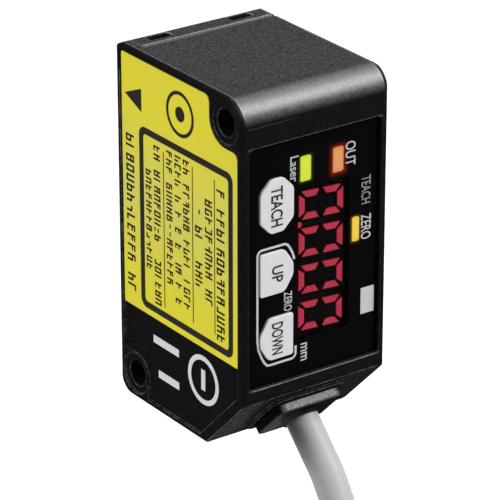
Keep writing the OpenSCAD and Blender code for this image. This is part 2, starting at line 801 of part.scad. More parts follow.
// Line that ties the two lower keys together, as two slim strips beside them
bracket_gap = 0.35;
bracket_line = 0.26;
module bracket_outline() {
    top = key_mids[1] + step_h / 2 + bracket_gap;
    foot = key_mids[2] - step_h / 2 - bracket_gap;
    side = key_side + key_w / 2 + bracket_gap;
    translate([side, foot]) square([bracket_line, top - foot]);
    translate([key_side, top]) square([side - key_side + bracket_line, bracket_line]);
    translate([key_side - key_w / 2, foot - bracket_line])
        square([side - key_side + key_w / 2 + bracket_line, bracket_line]);
}
mark = [1.8, 3.2];
mark_side = 1.85;
mark_drop_share = 0.7645;
module mark_box() {
    translate([small_light_side - mark_side, z_panel[1] - mark_drop_share * panel_h])
        square(mark, center = true);
}

// Operation panel and what lies behind it

module operation_panel() {
    color("#101113") along_y(y_panel_in, y_face) difference() {
        rounded_rect([-x_panel + panel_fit, z_panel[0] + panel_fit],
            [x_panel - panel_fit, z_panel[1] - panel_fit], panel_r - panel_fit);
        for (i = [0:2]) key_outline(i, panel_fit);
        all_light_outlines(fit);
        display_outline(0);
    }
}

module display_window() {
    color("#2a1216") along_y(y_face - display_window_t, y_face) display_outline(-fit / 2);
}

// Frame that holds the display, guides the lights and spaces the board from the case
module panel_carrier() {
    color("#232426") along_y(y_board, y_carrier_out) difference() {
        translate([-opening_x, opening_z[0]])
            square([2 * opening_x, opening_z[1] - opening_z[0]]);
        display_outline(fit);
        all_light_outlines(fit);
        for (i = [0:2]) translate([key_side, key_mids[i]])
            square([switch_body[0] + 2 * panel_fit, switch_body[1] + 2 * panel_fit], center = true);
    }
}

module key(i) {
    along_y(y_rim, y_face + key_proud) key_outline(i, 0);
    along_y(y_key_in, y_rim) key_outline(i, key_rim);
    bar_y(key_side, key_mids[i], y_key_in - key_stem_l, y_key_in + SMALL, key_stem_d);
}
module teach_key() { color("#e7e8ea") key(0); }
module up_key() { color("#e7e8ea") key(1); }
module down_key() { color("#e7e8ea") key(2); }

light_back = 0.7;
module laser_light() {
    color("#c9e83a") along_y(y_board + light_back, y_face) laser_light_outline(0);
}
module output_light() {
    color("#f0883c") along_y(y_board + light_back, y_face) output_light_outline(0);
}
module teach_light() {
    color("#3a3226") along_y(y_board + light_back, y_face) teach_light_outline(0);
}
module zero_light() {
    color("#f2c531") along_y(y_board + light_back, y_face) zero_light_outline(0);
}
chip_w = 0.9;
module indicator_chips() {
    color("#d8d6c8") for (at = [
        [large_light_sides[0], light_drop], [large_light_sides[1], light_drop],
        [small_light_side, small_light_drops[0]], [small_light_side, small_light_drops[1]]
    ]) translate([at[0], 0, z_panel[1] - at[1]])
        block([-chip_w / 2, y_board, -chip_w], [chip_w / 2, y_board + light_back - fit, chip_w]);
}

module display_module() {
    color("#18181a") difference() {
        along_y(y_board, y_board + display_t - digit_relief) display_outline(-fit / 2);
        // The bars stand in shallow wells
        along_y(y_board + display_t - digit_relief - bar_depth, y_board + display_t) all_bars(fit / 2);
    }
}
bar_depth = 0.6;
module display_bars() {
    y_out = y_board + display_t - digit_relief;
    color("#d8324f") along_y(y_out - bar_depth, y_out) all_bars(0);
}
// Bars of the four numerals and one point, read downwards with their tops to the bare side
module all_bars(g) {
    for (i = [0:3]) translate([-display_side, display_z + (1.5 - i) * digit_pitch]) nought(g);
    translate([-display_side + digit_h / 2 - point_inset, display_z + digit_pitch + point_rise])
        circle(d = point_d + 2 * g);
}
point_inset = 0.12;
point_rise = 0.2;
point_d = 0.8;
// A nought of six mitred bars: two at each side of the waist and one at each end
module nought(g) {
    for (end = [-1, 1]) {
        for (side = [-1, 1]) polygon([for (p = long_bar(g)) leaned([end * p[0], side * p[1]])]);
        polygon([for (p = end_bar(g)) leaned([end * p[0], p[1]])]);
    }
}
function leaned(p) = [p[0], p[1] + p[0] * tan(bar_lean)];
function long_bar(g) =
    let (w = digit_w / 2, h = digit_h / 2)
    [[bar_gap - g, w + g], [h - 1.5 * bar_gap, w + g],
     [h - bar_w - 0.9 * bar_gap, w - bar_w - g], [bar_gap + 0.6 * bar_w - g, w - bar_w - g]];
function end_bar(g) =
    let (w = digit_w / 2, h = digit_h / 2)
    [[h + g, w - 1.5 * bar_gap], [h - bar_w - g, w - bar_w - 0.3 * bar_gap],
     [h - bar_w - g, -w + bar_w + 0.3 * bar_gap], [h + g, -w + 1.5 * bar_gap]];

module display_board() {
    color("#1f4d38") along_y(y_board - board_t, y_board)
        translate([-opening_x + fit, opening_z[0] + fit])
            square([2 * opening_x - 2 * fit, opening_z[1] - opening_z[0] - 2 * fit]);
}

module key_switches() {
    color("#8b8f94") for (i = [0:2]) translate([key_side, 0, key_mids[i]]) {
        block([-switch_body[0] / 2, y_board, -switch_body[1] / 2],
            [switch_body[0] / 2, y_board + switch_body[2], switch_body[1] / 2]);
        bar_y(0, 0, y_board + switch_body[2] - SMALL, y_board + switch_body[2] + switch_button_l,
            switch_button_d);
    }
}

// Boards

module main_board() {
    color("#1f4d38") difference() {
        block([main_board_x[0], main_board_y[0], main_board_z[0]],
            [main_board_x[1], main_board_y[1], main_board_z[1]]);
        for (z = board_post_z)
            bar_x(board_post_y, z, main_board_x[0] - OVER, main_board_x[1] + OVER, screw_d + 2 * panel_fit);
    }
}
board_post_y = main_board_y[0] + post_in;

// Packages on the board's inner face, the largest one the processor
module main_board_chips() {
    color("#2d2e31") for (i = [0:2])
        translate([main_board_x[0], package_front, main_board_z[0] + package_rises[i]])
            block([-package_ts[i], 0, -package_heights[i] / 2],
                [0, package_lengths[i], package_heights[i] / 2]);
}

// Header that joins the main board to the display board
module board_connector() {
    color("#d9d6c9")
        block([main_board_x[0] - header_t, main_board_y[1] - header_l, main_board_z[0] + header_rises[0]],
            [main_board_x[0], y_board - board_t, main_board_z[0] + header_rises[1]]);
}
module cable_connector() {
    color("#e5e2d6") translate(cable_plug_mid) cube(cable_plug, center = true);
}
// Flexible strips from the laser's board and the sensor's board to the main board
module board_flexes() {
    y_laser = sleeve_front + sleeve_l + laser_board_t;
    color("#b5762a") {
        bent_strip(block_side - flex_in, y_laser, z_beam - flex_drop, flex_w);
        on_receiver() bent_strip(sensor_board_size[0] / 2 - flex_in, sensor_stack, -flex_w / 2, flex_w);
    }
}
// A strip that leaves a board's back at y, crosses to the main board and lies down on it
module bent_strip(x, y, z, w) {
    block([x, y, z], [main_board_x[0], y + flex_t, z + w]);
    block([main_board_x[0] - flex_t, y - flex_lap, z], [main_board_x[0], y + SMALL, z + w]);
}
module board_screws() {
    color("#a9acb0") for (z = board_post_z) {
        bar_x(board_post_y, z, main_board_x[1], main_board_x[1] + board_screw_head_t, screw_head_d);
        bar_x(board_post_y, z, main_board_x[0] - post_l, main_board_x[1] + SMALL, screw_d);
    }
}

// Optics

// One moulding: a side web, the barrel block for the diode sleeve, the receiver's lens
// block and sensor wall, the two screw ears and the posts for the main board
module optical_block() {
    x_in_web = (web_x[0] + web_x[1]) / 2;
    color("#26272a") difference() {
        union() {
            block([web_x[0], web_front, web_z[0]], [web_x[1], web_back, web_z[1]]);
            // Barrel block
            block([web_x[0], sleeve_front + sleeve_step, z_beam - sleeve_d / 2 - block_wall],
                [block_side, block_back, block_top]);
            on_receiver() {
                block([x_in_web, -lens_block[1] / 2, -lens_block[2] / 2],
                    [lens_block[0] / 2, lens_block[1] / 2, lens_block[2] / 2]);
                block([x_in_web, sensor_gap, -sensor_board_size[2] / 2 - 1.1],
                    [sensor_wall_side, sensor_gap + sensor_wall_t, sensor_board_size[2] / 2 + 0.7]);
            }
            ears();
            board_rail();
        }
        bar_y(0, z_beam, web_front - OVER, block_back + OVER, sleeve_d + 2 * fit);
        on_receiver() {
            bar_y(0, 0, -lens_block[1], lens_block[1], lens_holder_d + 2 * fit);
            // Window in front of the image sensor
            block([-chip[0] / 2 + chip_lap, sensor_gap - OVER, -chip[2] / 2 + chip_lap],
                [chip[0] / 2 - chip_lap, sensor_gap + 2 * OVER, chip[2] / 2 - chip_lap]);
        }
        for (at = screw_places)
            bar_y(at[0], at[1], y_lug - 2 * OVER, y_lug + OVER, screw_d + 3 * panel_fit);
        for (z = board_post_z)
            bar_x(board_post_y, z, main_board_x[0] - post_l - 3 * panel_fit, main_board_x[0] + OVER, screw_d);
    }
}
chip_lap = 0.5;
ear_t = 1;
module ears() {
    block([block_side - ear_t, y_lug - ear_t, z_top_in - lug[2]], [x_mouth[1] - fit, y_lug, block_top]);
    block([x_mouth[0] + fit, y_lug - ear_t, screw_places[1][1] - screw_head_d / 2],
        [web_x[1] + ear_t, y_lug, web_z[0] + 2 * ear_t]);
}
// Rail beside the lens block with the two posts that carry the main board
module board_rail() {
    block([rail_x, board_post_y - post_d / 2, board_post_z[0] - post_d / 2],
        [rail_x + rail_t, board_post_y + post_d / 2, z_beam]);
    for (z = board_post_z) block([rail_x + rail_t / 2, board_post_y - post_d / 2, z - post_d / 2],
        [main_board_x[0], board_post_y + post_d / 2, z + post_d / 2]);
}

module block_screws() {
    color("#a9acb0") for (at = screw_places) {
        bar_y(at[0], at[1], y_lug - ear_t - screw_head_t, y_lug - ear_t, screw_head_d);
        bar_y(at[0], at[1], y_lug - ear_t - SMALL, y_lug + screw_l, screw_d);
    }
}

module diode_sleeve() {
    y0 = sleeve_front;
    color("#b08d4a") difference() {
        bar_y(0, z_beam, y0, y0 + sleeve_l, sleeve_d);
        bar_y(0, z_beam, y0 - OVER, y0 + lens_stop + collimator_t, collimator_d + 2 * fit);
        bar_y(0, z_beam, y0, y0 + sleeve_l + OVER, collimator_d - block_wall);
        bar_y(0, z_beam, y0 + sleeve_l - diode_base_t, y0 + sleeve_l + OVER, diode_d + 2 * fit);
    }
}

// Plano-convex lens, flat side to the diode
module collimator_lens() {
    back = sleeve_front + lens_stop + collimator_t;
    bulge = collimator_t * 0.35;
    color("#a9c4d6") translate([0, back, z_beam]) rotate([90, 0, 0])
        lens(collimator_d / 2, collimator_t - bulge, bulge, 0);
}

// A turned lens: rim thickness t, with a bulge at its front and its back
module lens(r, t, front, back) {
    rotate_extrude() union() {
        square([r, t]);
        cap_profile(r, t, front);
        mirror([0, 1]) cap_profile(r, 0, back);
    }
}
module cap_profile(r, base, bulge) {
    if (bulge > 0) {
        sphere_r = (r * r + bulge * bulge) / (2 * bulge);
        intersection() {
            translate([0, base + bulge - sphere_r]) circle(sphere_r);
            translate([0, base - SMALL]) square([r, bulge + OVER]);
        }
    }
}

module laser_diode() {
    base_back = sleeve_front + sleeve_l;
    color("#c9a860") {
        bar_y(0, z_beam, base_back - diode_base_t, base_back, diode_d);
        bar_y(0, z_beam, base_back - diode_base_t - diode_cap_l, base_back - diode_base_t + SMALL,
            diode_cap_d);
        for (a = diode_pins)
            bar_y(cos(a), z_beam + sin(a), base_back - SMALL, base_back + diode_base_t, diode_pin_d);
    }
}
diode_pins = [90, 210, 330];
module laser_board() {
    y0 = sleeve_front + sleeve_l;
    color("#1f4d38") difference() {
        block([-laser_board_side, y0, z_beam - laser_board_side],
            [laser_board_side, y0 + laser_board_t, z_beam + laser_board_side - 2 * panel_fit]);
        for (a = diode_pins)
            bar_y(cos(a), z_beam + sin(a), y0 - OVER, y0 + OVER + laser_board_t, diode_pin_d + 3 * fit);
    }
}

laser_board_side = 3.8;

module lens_holder() {
    color("#1b1c1e") on_receiver() difference() {
        bar_y(0, 0, -holder_l / 2, holder_l / 2, lens_holder_d);
        bar_y(0, 0, -holder_l, holder_l / 2 - lens_stop, receiver_lens_d + 2 * fit);
        bar_y(0, 0, -holder_l, holder_l, receiver_lens_d - 1.5 * block_wall);
    }
}
module receiver_lens() {
    bulge = lens_t * 0.3;
    color("#a9c4d6") on_receiver() translate([0, holder_l / 2 - lens_stop, 0]) rotate([90, 0, 0])
        lens(receiver_lens_d / 2, lens_t - bulge, bulge, 0);
}
module image_sensor() {
    y0 = sensor_gap + sensor_wall_t;
    color("#4a4d52") on_receiver()
        block([-chip[0] / 2, y0, -chip[2] / 2], [chip[0] / 2, y0 + chip[1], chip[2] / 2]);
}
module sensor_board() {
    y0 = sensor_gap + sensor_wall_t + chip[1];
    color("#1f4d38") on_receiver()
        block([-sensor_board_size[0] / 2, y0, -sensor_board_size[2] / 2],
            [sensor_board_size[0] / 2, y0 + sensor_board_size[1], sensor_board_size[2] / 2]);
}

// Gland and cable

module cable_gland() {
    color("#232427") on_heel() difference() {
        union() {
            translate([0, 0, gland_pad]) linear_extrude(gland_t)
                rounded_rect([-gland_w / 2, -gland_l / 2], [gland_w / 2, gland_l / 2], gland_r);
            translate([0, 0, -plug_depth]) linear_extrude(plug_depth + gland_pad + SMALL)
                rounded_rect([-plug_w / 2, -plug_l / 2], [plug_w / 2, plug_l / 2], 1 - fit);
            translate([0, 0, gland_face - SMALL]) cylinder(h = nose_l + SMALL, d = nose_d);
        }
        translate([0, 0, -plug_depth - OVER])
            cylinder(h = plug_depth + cable_start + 2 * OVER, d = gland_hole_d);
    }
}
module cable_inlet() {
    color("#8f9194") on_heel() translate([0, 0, -inlet_l]) cylinder(h = inlet_l + cable_start, d = cable_d);
}
module cable_clamp() {
    color("#a9acb0") on_heel() translate([0, 0, -plug_depth - clamp_l]) difference() {
        cylinder(h = clamp_l, d = clamp_d);
        translate([0, 0, -OVER]) cylinder(h = clamp_l + 2 * OVER, d = cable_d);
    }
}

// The five leads inside the case, from the cable's inner end to the connector
module inner_leads() {
    inward = [0, -1, 1] / sqrt(2);
    across = [0, 1, 1] / sqrt(2);
    start = heel_mid + inlet_l * inward;
    color("#8d9196") for (i = [0:len(lead_colours) - 1]) {
        a = inner_lead_angles[i];
        from = start + lead_ring_r * (cos(a) * [1, 0, 0] + sin(a) * across);
        to = cable_plug_mid + [-cable_plug[0] / 2, (i - 2) * way, 0];
        tube([from, from + inward, to - [1.2, 0, 0], to], lead_d, cord_sides);
    }
}

// Direction of a route at point i
function along(points, i) =
    let (d = points[min(i + 1, len(points) - 1)] - points[max(i - 1, 0)])
    d / norm(d);
// The two directions across a direction t
function across(t) = let (u = cross(t, [1, 0.2, 0.1])) [u / norm(u), cross(t, u) / norm(u)];
function ring_at(points, i, d, sides) =
    let (axes = across(along(points, i)), turn = 360 / sides)
    [for (k = [0:sides - 1]) points[i] + d / 2 * (cos(turn * k) * axes[0] + sin(turn * k) * axes[1])];
// A tube of a given diameter swept along points, with flat ends
module tube(points, d, sides) {
    n = len(points);
    skin = [for (i = [0:n - 1]) each ring_at(points, i, d, sides)];
    walls = [for (i = [0:n - 2]) for (k = [0:sides - 1])
        let (a = i * sides + k, b = i * sides + (k + 1) % sides)
        each [[a, a + sides, b], [b, a + sides, b + sides]]];
    ends = [[for (k = [0:sides - 1]) k], [for (k = [sides - 1:-1:0]) (n - 1) * sides + k]];
    polyhedron(skin, concat(walls, ends));
}

module cable() {
    color("#8f9194") tube([for (p = lead_in) exit_point + p], cable_d, cord_sides);
}
module cable_coil() {
    color("#8f9194") translate(coil_mid) rotate([0, 90, 0]) rotate_extrude()
        translate([0, -coil_w / 2]) rounded_rect([coil_inner, 0], [coil_outer, coil_w], cable_d / 2);
}
module cable_tail() {
    color("#8f9194") tube([for (p = tail) tail_start + p], cable_d, cord_sides);
}
// A strap round all the turns, just past the coil's top
module coil_tie() {
    low = coil_inner - tie_gap;
    high = coil_outer + tie_gap;
    half = coil_w / 2 + tie_gap;
    color("#1c1c1e") translate(coil_mid) rotate([tie_turn, 0, 0])
        along_y(-tie_w / 2, tie_w / 2) difference() {
            rounded_rect([-half - tie_t, low - tie_t], [half + tie_t, high + tie_t], 1.5 * tie_t);
            rounded_rect([-half, low], [half, high], 0.7 * tie_t);
        }
}

// One bared lead: it leaves the cable's end straight and then spreads
module lead(i) {
    t = along(tail, len(tail) - 1);
    axes = across(t);
    a = 360 * i / len(lead_colours);
    out = cos(a) * axes[0] + sin(a) * axes[1];
    start = tail_start + tail[len(tail) - 1] + lead_ring_r * out;
    color(lead_colours[i]) tube([for (k = [0:lead_steps])
        start + t * lead_l * k / lead_steps + out * lead_spread * pow(max(k - 1, 0), 2)], lead_d, cord_sides);
}
module brown_lead() { lead(0); }
module blue_lead() { lead(1); }
module black_lead() { lead(2); }
module pink_lead() { lead(3); }
module grey_lead() { lead(4); }

housing();
front_cover();
cover_gasket();
emitter_window();
receiver_window();
side_label();
label_print();
operation_panel();
panel_print();
display_window();
panel_carrier();
teach_key();
up_key();
down_key();
laser_light();
output_light();
teach_light();
zero_light();
display_module();
display_bars();
display_board();
key_switches();
indicator_chips();
main_board();
main_board_chips();
board_connector();
board_flexes();
cable_connector();
board_screws();
optical_block();
diode_sleeve();
collimator_lens();
laser_diode();
laser_board();
lens_holder();
receiver_lens();
image_sensor();
sensor_board();
block_screws();
cable_gland();
cable_inlet();
cable_clamp();
inner_leads();
cable();
cable_coil();
coil_tie();
cable_tail();
brown_lead();
blue_lead();
black_lead();
pink_lead();
grey_lead();
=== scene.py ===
# %% [markdown]
# # A laser sensor on its cable
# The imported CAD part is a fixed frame, and this lesson gives it its looks. The real object is a
# slim black case with a moulded grain, a printed yellow label, an operation panel with lit
# numerals and three keys, and a grey cable. First comes the frame itself: every piece below
# takes its place from it, so nothing has to be fitted by eye.

import math

import bmesh
import bpy
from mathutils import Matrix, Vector


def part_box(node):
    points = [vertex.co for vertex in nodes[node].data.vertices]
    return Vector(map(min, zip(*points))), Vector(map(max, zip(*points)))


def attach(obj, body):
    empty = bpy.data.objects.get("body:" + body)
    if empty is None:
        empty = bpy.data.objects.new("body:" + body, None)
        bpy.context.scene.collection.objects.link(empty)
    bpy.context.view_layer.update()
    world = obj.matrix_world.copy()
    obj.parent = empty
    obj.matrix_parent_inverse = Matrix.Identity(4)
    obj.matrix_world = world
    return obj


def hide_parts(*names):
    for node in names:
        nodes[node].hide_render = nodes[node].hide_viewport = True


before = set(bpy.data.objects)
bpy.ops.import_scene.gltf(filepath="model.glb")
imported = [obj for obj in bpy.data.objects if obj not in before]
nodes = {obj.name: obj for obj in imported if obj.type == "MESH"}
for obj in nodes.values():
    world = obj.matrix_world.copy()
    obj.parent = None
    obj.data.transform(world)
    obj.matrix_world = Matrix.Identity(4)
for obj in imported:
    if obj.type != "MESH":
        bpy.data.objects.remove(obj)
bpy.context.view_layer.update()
MM = 0.001


def mm(x, y, z):
    """A point given in millimetres."""
    return Vector((x, y, z)) * MM


def linked(name, data):
    """A new object in the scene that holds a mesh, curve, lamp or camera."""
    obj = bpy.data.objects.new(name, data)
    bpy.context.scene.collection.objects.link(obj)
    return obj


# %% [markdown]
# ## The camera
# The photograph looks down on the label side and the panel from about 23 degrees, through a long
# lens. The photograph itself has its upright edges straightened, so no plain camera meets all of
# its corners: this one is nearest over the three faces in view and keeps the upright edges
# nearly upright. It needs no shift, so it can be moved round the part without losing it.

# %% Camera
CAMERA_PLACE = Vector((0.2023, 0.2835, 0.1528))
CAMERA_AIM = Vector((0.0006, 0.0009, -0.0017))
CAMERA_LENS = 238.2

camera = linked("camera", bpy.data.cameras.new("camera"))
camera.data.lens = CAMERA_LENS
camera.data.sensor_width = 36
camera.data.clip_start = 0.01
camera.location = CAMERA_PLACE
camera.rotation_euler = (CAMERA_AIM - CAMERA_PLACE).to_track_quat("-Z", "Y").to_euler()
bpy.context.scene.camera = camera
print("camera at", tuple(round(c, 4) for c in CAMERA_PLACE))

# %% [markdown]
# ## The cable's route
# The cable leaves the heel at 45 degrees, bends down under its own weight and hangs to a coil
# that is stored right below the case. About 2 m is usual for such a sensor. The stretch down to
# the coil is a list of given points with a smooth curve through them, and the coil is
# worked out turn by turn. It is wound as a real one is: four layers inwards, one lane over, four
# layers outwards, so that both ends lie outside. Each step to the next place is a short blend
# just before the top, where all turns step together and so never cut through each other.

# %% Route of the cable
CABLE_D = 4.0
HEEL_MID = mm(0, 8.95, -18.25)
CABLE_START = 2.0
exit_point = HEEL_MID + mm(0, 1, -1) * CABLE_START / math.sqrt(2)
# Points from the exit to the coil's top, and from the coil's foot to the leads
LEAD_IN = [
    (0, 0, 0), (0, 2.9, -2.9), (0.1, 5.7, -5.7), (0.5, 9.2, -10.9), (1.4, 10.4, -17), (2.7, 9.2, -23.1),
    (4.2, 5.7, -28.3), (5.4, 0.5, -31.8), (6.1, -5.6, -33),
]
TAIL = [(0, 0, 0), (0, -0.3, -6), (-0.2, -1, -12), (-0.4, -1.8, -18)]
LANES = 4
LAYERS = 4
INNER_R = 14.3
PITCH = CABLE_D * 1.02
STEPS_PER_TURN = 48
# The share of a turn that a step over takes, and the share of the pitch that it swings out by
STEP_OVER = 0.13
LANE_BULGE = 0.36


def smooth_through(points, before, after, steps):
    """Points on a Catmull-Rom curve through the given ones, with steps to each stretch."""
    row = [before, *points, after]
    found = []
    for i in range(1, len(row) - 2):
        a, b, c, d = row[i - 1:i + 3]
        for k in range(steps):
            t = k / steps
            found.append(0.5 * (2 * b + (c - a) * t + (2 * a - 5 * b + 4 * c - d) * t ** 2
                                + (3 * b - a - 3 * c + d) * t ** 3))
    return found + [points[-1]]


def coil_place(turn):
    """Where a turn lies: its offset along the axis and its radius, in millimetres."""
    lane, along = divmod(turn, LAYERS)
    layer = LAYERS - 1 - along if lane % 2 == 0 else along
    return ((LANES - 1) / 2 - lane) * PITCH, INNER_R + layer * PITCH


def coil_points(middle, turns):
    """The coil's points from its top, winding over the sensing side first."""
    found = []
    for step in range(int(turns * STEPS_PER_TURN)):
        turn, share = divmod(step / STEPS_PER_TURN, 1)
        here = coil_place(int(turn))
        after = coil_place(int(turn) + 1)
        w = min(max((share - 1 + STEP_OVER) / STEP_OVER, 0), 1)
        w = w * w * (3 - 2 * w)
        radius = here[1] + (after[1] - here[1]) * w
        if here[0] != after[0]:
            outwards = -1 if here[1] < INNER_R + PITCH else 1
            radius += outwards * LANE_BULGE * PITCH * math.sin(math.pi * w)
        angle = 2 * math.pi * share
        x = here[0] + (after[0] - here[0]) * w
        found.append(middle + mm(x, -radius * math.sin(angle), radius * math.cos(angle)))
    return found


lead_in = [exit_point + mm(*p) for p in LEAD_IN]
outer_r = INNER_R + (LAYERS - 1) * PITCH
coil_middle = Vector((0, lead_in[-1].y, lead_in[-1].z - outer_r * MM))
coil = coil_points(coil_middle, LANES * LAYERS - 0.75)
tail_start = coil_middle + mm(-coil_place(0)[0], -outer_r, 0)
tail = [tail_start + mm(*p) for p in TAIL]
route = smooth_through(lead_in, exit_point - mm(*LEAD_IN[1]), coil[1], 4)[:-1] + coil
route += smooth_through(tail, tail_start + mm(0, 0, 4), tail[-1] + (tail[-1] - tail[-2]), 2)
length = sum((b - a).length for a, b in zip(route, route[1:]))
print("cable route:", len(route), "points,", round(length, 3), "m")

# %% The cable as one curve
def curve_object(name, points, radius_mm=0.0, resolution=4):
    """A smooth open curve through points, round if it has a radius."""
    curve = bpy.data.curves.new(name, "CURVE")
    curve.dimensions = "3D"
    line = curve.splines.new("POLY")
    line.points.add(len(points) - 1)
    for point, place in zip(line.points, points):
        point.co = (*place, 1)
    curve.bevel_depth = radius_mm * MM
    curve.bevel_resolution = resolution
    curve.use_fill_caps = radius_mm > 0
    return linked(name, curve)


cable = curve_object("cable_sheath", route, CABLE_D / 2, resolution=5)
print("cable is", CABLE_D, "mm thick")

# %% [markdown]
# ## Light, floor and background
# The photograph is a cut-out on white, lit softly from above and behind, so that the grain on
# the top shows, the rounding over the panel carries a bright band and the sides stay nearly
# black. A lamp high over the operation side gives that band and lights the keys, a larger and
# weaker one behind it shows the grain of the top, a third lights the label, and the world fills
# the rest. The floor is pale and lies below the coil and the leads. White is only what rays from
# the camera and from glossy or clear surfaces see, so the case gets no extra light from it.

# %% Lamps
# Each lamp: its direction from the case, its distance and size in metres, and its watts
LAMPS = {
    "lamp_panel_top": ((-0.51, 0.45, 0.73), 0.9, 0.30, 9.5),
    "lamp_behind_top": ((-0.51, -0.25, 0.82), 0.9, 0.5, 2.5),
    "lamp_label_side": ((0.75, -0.25, 0.61), 1.0, 0.5, 6.0),
}


def square_lamp(name, direction, distance, size, watts):
    """A square area lamp that faces the middle of the case."""
    panel = linked(name, bpy.data.lights.new(name, "AREA"))
    panel.data.shape = "SQUARE"
    panel.data.size = size
    panel.data.energy = watts
    panel.location = Vector(direction).normalized() * distance
    panel.rotation_euler = panel.location.to_track_quat("Z", "Y").to_euler()
    panel.visible_camera = False


for name, values in LAMPS.items():
    square_lamp(name, *values)
print("lamps:", len(LAMPS))

# %% Floor
FLOOR_Z = -0.160
FLOOR_HALF = 1.5
floor = linked("floor", bpy.data.meshes.new("floor"))
corners = [(-1, -1), (1, -1), (1, 1), (-1, 1)]
floor.data.from_pydata([(x * FLOOR_HALF, y * FLOOR_HALF, FLOOR_Z) for x, y in corners], [], [(0, 1, 2, 3)])
print("floor at", FLOOR_Z)

# %% [markdown]
# ## Shader maths as plain expressions
# A finish is easier to read as a formula than as a web of nodes. Wire wraps one output socket,
# and its operators add the Math nodes, also where the number comes first, as in 1 - mask.
# Finish holds one material and adds every other kind of node through a single method.


# %% Wires
def add_node(tree, kind, settings=None, sockets=None):
    """Adds a node: its settings first, then the values or links of its input sockets."""
    made = tree.nodes.new(kind)
    for name, value in (settings or {}).items():
        setattr(made, name, value)
    for key, value in (sockets or {}).items():
        if isinstance(value, bpy.types.NodeSocket):
            tree.links.new(value, made.inputs[key])
        else:
            made.inputs[key].default_value = value
    return made


class Wire:
    """A value that flows through a material, for use in plain expressions."""

    def __init__(self, finish, socket):
        self.finish = finish
        self.socket = socket

    def maths(self, operation, first, second=0):
        return self.finish.node("ShaderNodeMath", {"operation": operation}, {0: first, 1: second})

    def __add__(self, other):
        return self.maths("ADD", self, other)

    def __sub__(self, other):
        return self.maths("SUBTRACT", self, other)

    def __rsub__(self, other):
        return self.maths("SUBTRACT", other, self)

    def __mul__(self, other):
        return self.maths("MULTIPLY", self, other)

    def __truediv__(self, other):
        return self.maths("DIVIDE", self, other)

    def power(self, exponent):
        return self.maths("POWER", self, exponent)

    def larger(self, other):
        return self.maths("MAXIMUM", self, other)

    def size(self):
        return self.maths("ABSOLUTE", self)

    def wave(self):
        return self.maths("SINE", self)

    def clamped(self):
        return self.maths("MINIMUM", self.larger(0), 1)

    def past(self, start, width):
        """From 0 at start to 1 at start + width, which may be negative."""
        return ((self - start) / width).clamped()

    def near(self, place, reach):
        """One at a place, falling to 0 at reach from it."""
        return (1 - (self - place).size() / reach).clamped()

    def about(self, middle, spread):
        """A value round middle that varies by spread, from noise between 0 and 1."""
        return middle + (self - 0.5) * spread

    __radd__ = __add__
    __rmul__ = __mul__


# %% Finishes
RAY_KINDS = ("Camera", "Glossy", "Transmission")
WHITE = (1, 1, 1, 1)


class Finish:
    """One material or world, written as expressions."""

    def __init__(self, name, owner=None):
        self.material = owner or bpy.data.materials.new(name)
        self.material.use_nodes = True
        self.tree = self.material.node_tree
        self.tree.nodes.clear()

    def node(self, kind, settings=None, sockets=None, output=0):
        """Adds a node whose sockets may take wires, and gives one of its outputs as a wire."""
        plain = {key: getattr(value, "socket", value) for key, value in (sockets or {}).items()}
        made = add_node(self.tree, kind, settings, plain)
        return Wire(self, made.outputs[output]) if made.outputs else None

    def place(self):
        """Object coordinates, which are the part's own metres."""
        return self.node("ShaderNodeTexCoord", output="Object")

    def axes(self):
        """The three coordinates in millimetres, each as a wire."""
        split = self.node("ShaderNodeSeparateXYZ", sockets={0: self.place()})
        return [Wire(self, socket) * 1000 for socket in split.socket.node.outputs]

    def noise(self, grain_mm, detail=2, roughness=0.5, stretch=None):
        """Noise from 0 to 1 whose features are about grain_mm wide."""
        where = self.place()
        if stretch:
            where = self.node("ShaderNodeVectorMath", {"operation": "MULTIPLY"}, {0: where, 1: stretch})
        sockets = {"Vector": where, "Scale": 1000 / grain_mm, "Detail": detail, "Roughness": roughness}
        return self.node("ShaderNodeTexNoise", None, sockets)

    def mixed(self, share, first, second):
        """A colour between two, by a share from 0 to 1."""
        a, b = [end if isinstance(end, Wire) else (*end, 1) for end in (first, second)]
        return self.node("ShaderNodeMix", {"data_type": "RGBA"}, {0: share, 6: a, 7: b}, output=2)

    def bumped(self, height, distance_mm):
        """A normal that rises and falls with height, from 0 to 1, over distance_mm."""
        sockets = {"Strength": 1.0, "Distance": distance_mm * MM, "Height": height}
        return self.node("ShaderNodeBump", None, sockets)

    def seen_rays(self):
        """One for rays that see the background: from the camera, or by a glossy or clear surface."""
        rays = self.node("ShaderNodeLightPath").socket.node.outputs
        straight, glossy, clear = [Wire(self, rays[f"Is {kind} Ray"]) for kind in RAY_KINDS]
        return straight.larger(glossy).larger(clear)

    def surface(self, **sockets):
        """Ends the material in a Principled shader. An underscore stands for a space."""
        values = {name.replace("_", " "): value for name, value in sockets.items()}
        for name, value in values.items():
            if isinstance(value, tuple) and "Color" in name:
                values[name] = (*value, 1)
        shader = self.node("ShaderNodeBsdfPrincipled", None, values)
        self.node("ShaderNodeOutputMaterial", None, {"Surface": shader})
        return self.material


def shaded(colour, share):
    """A darker or lighter version of a colour."""
    return tuple(c * share for c in colour)


# %% World and floor colours
WORLD_LIGHT = 0.25
FLOOR_GREY = (0.5, 0.5, 0.5, 1)
FLOOR_LIFT = 0.62


def lit_world(strength, seen):
    """A world that lights the scene with one strength and shows another as the background."""
    world = bpy.data.worlds.new("studio")
    bpy.context.scene.world = world
    f = Finish("studio", world)
    level = f.seen_rays() * (seen - strength) + strength
    background = f.node("ShaderNodeBackground", None, {"Color": WHITE, "Strength": level})
    f.node("ShaderNodeOutputWorld", None, {"Surface": background})


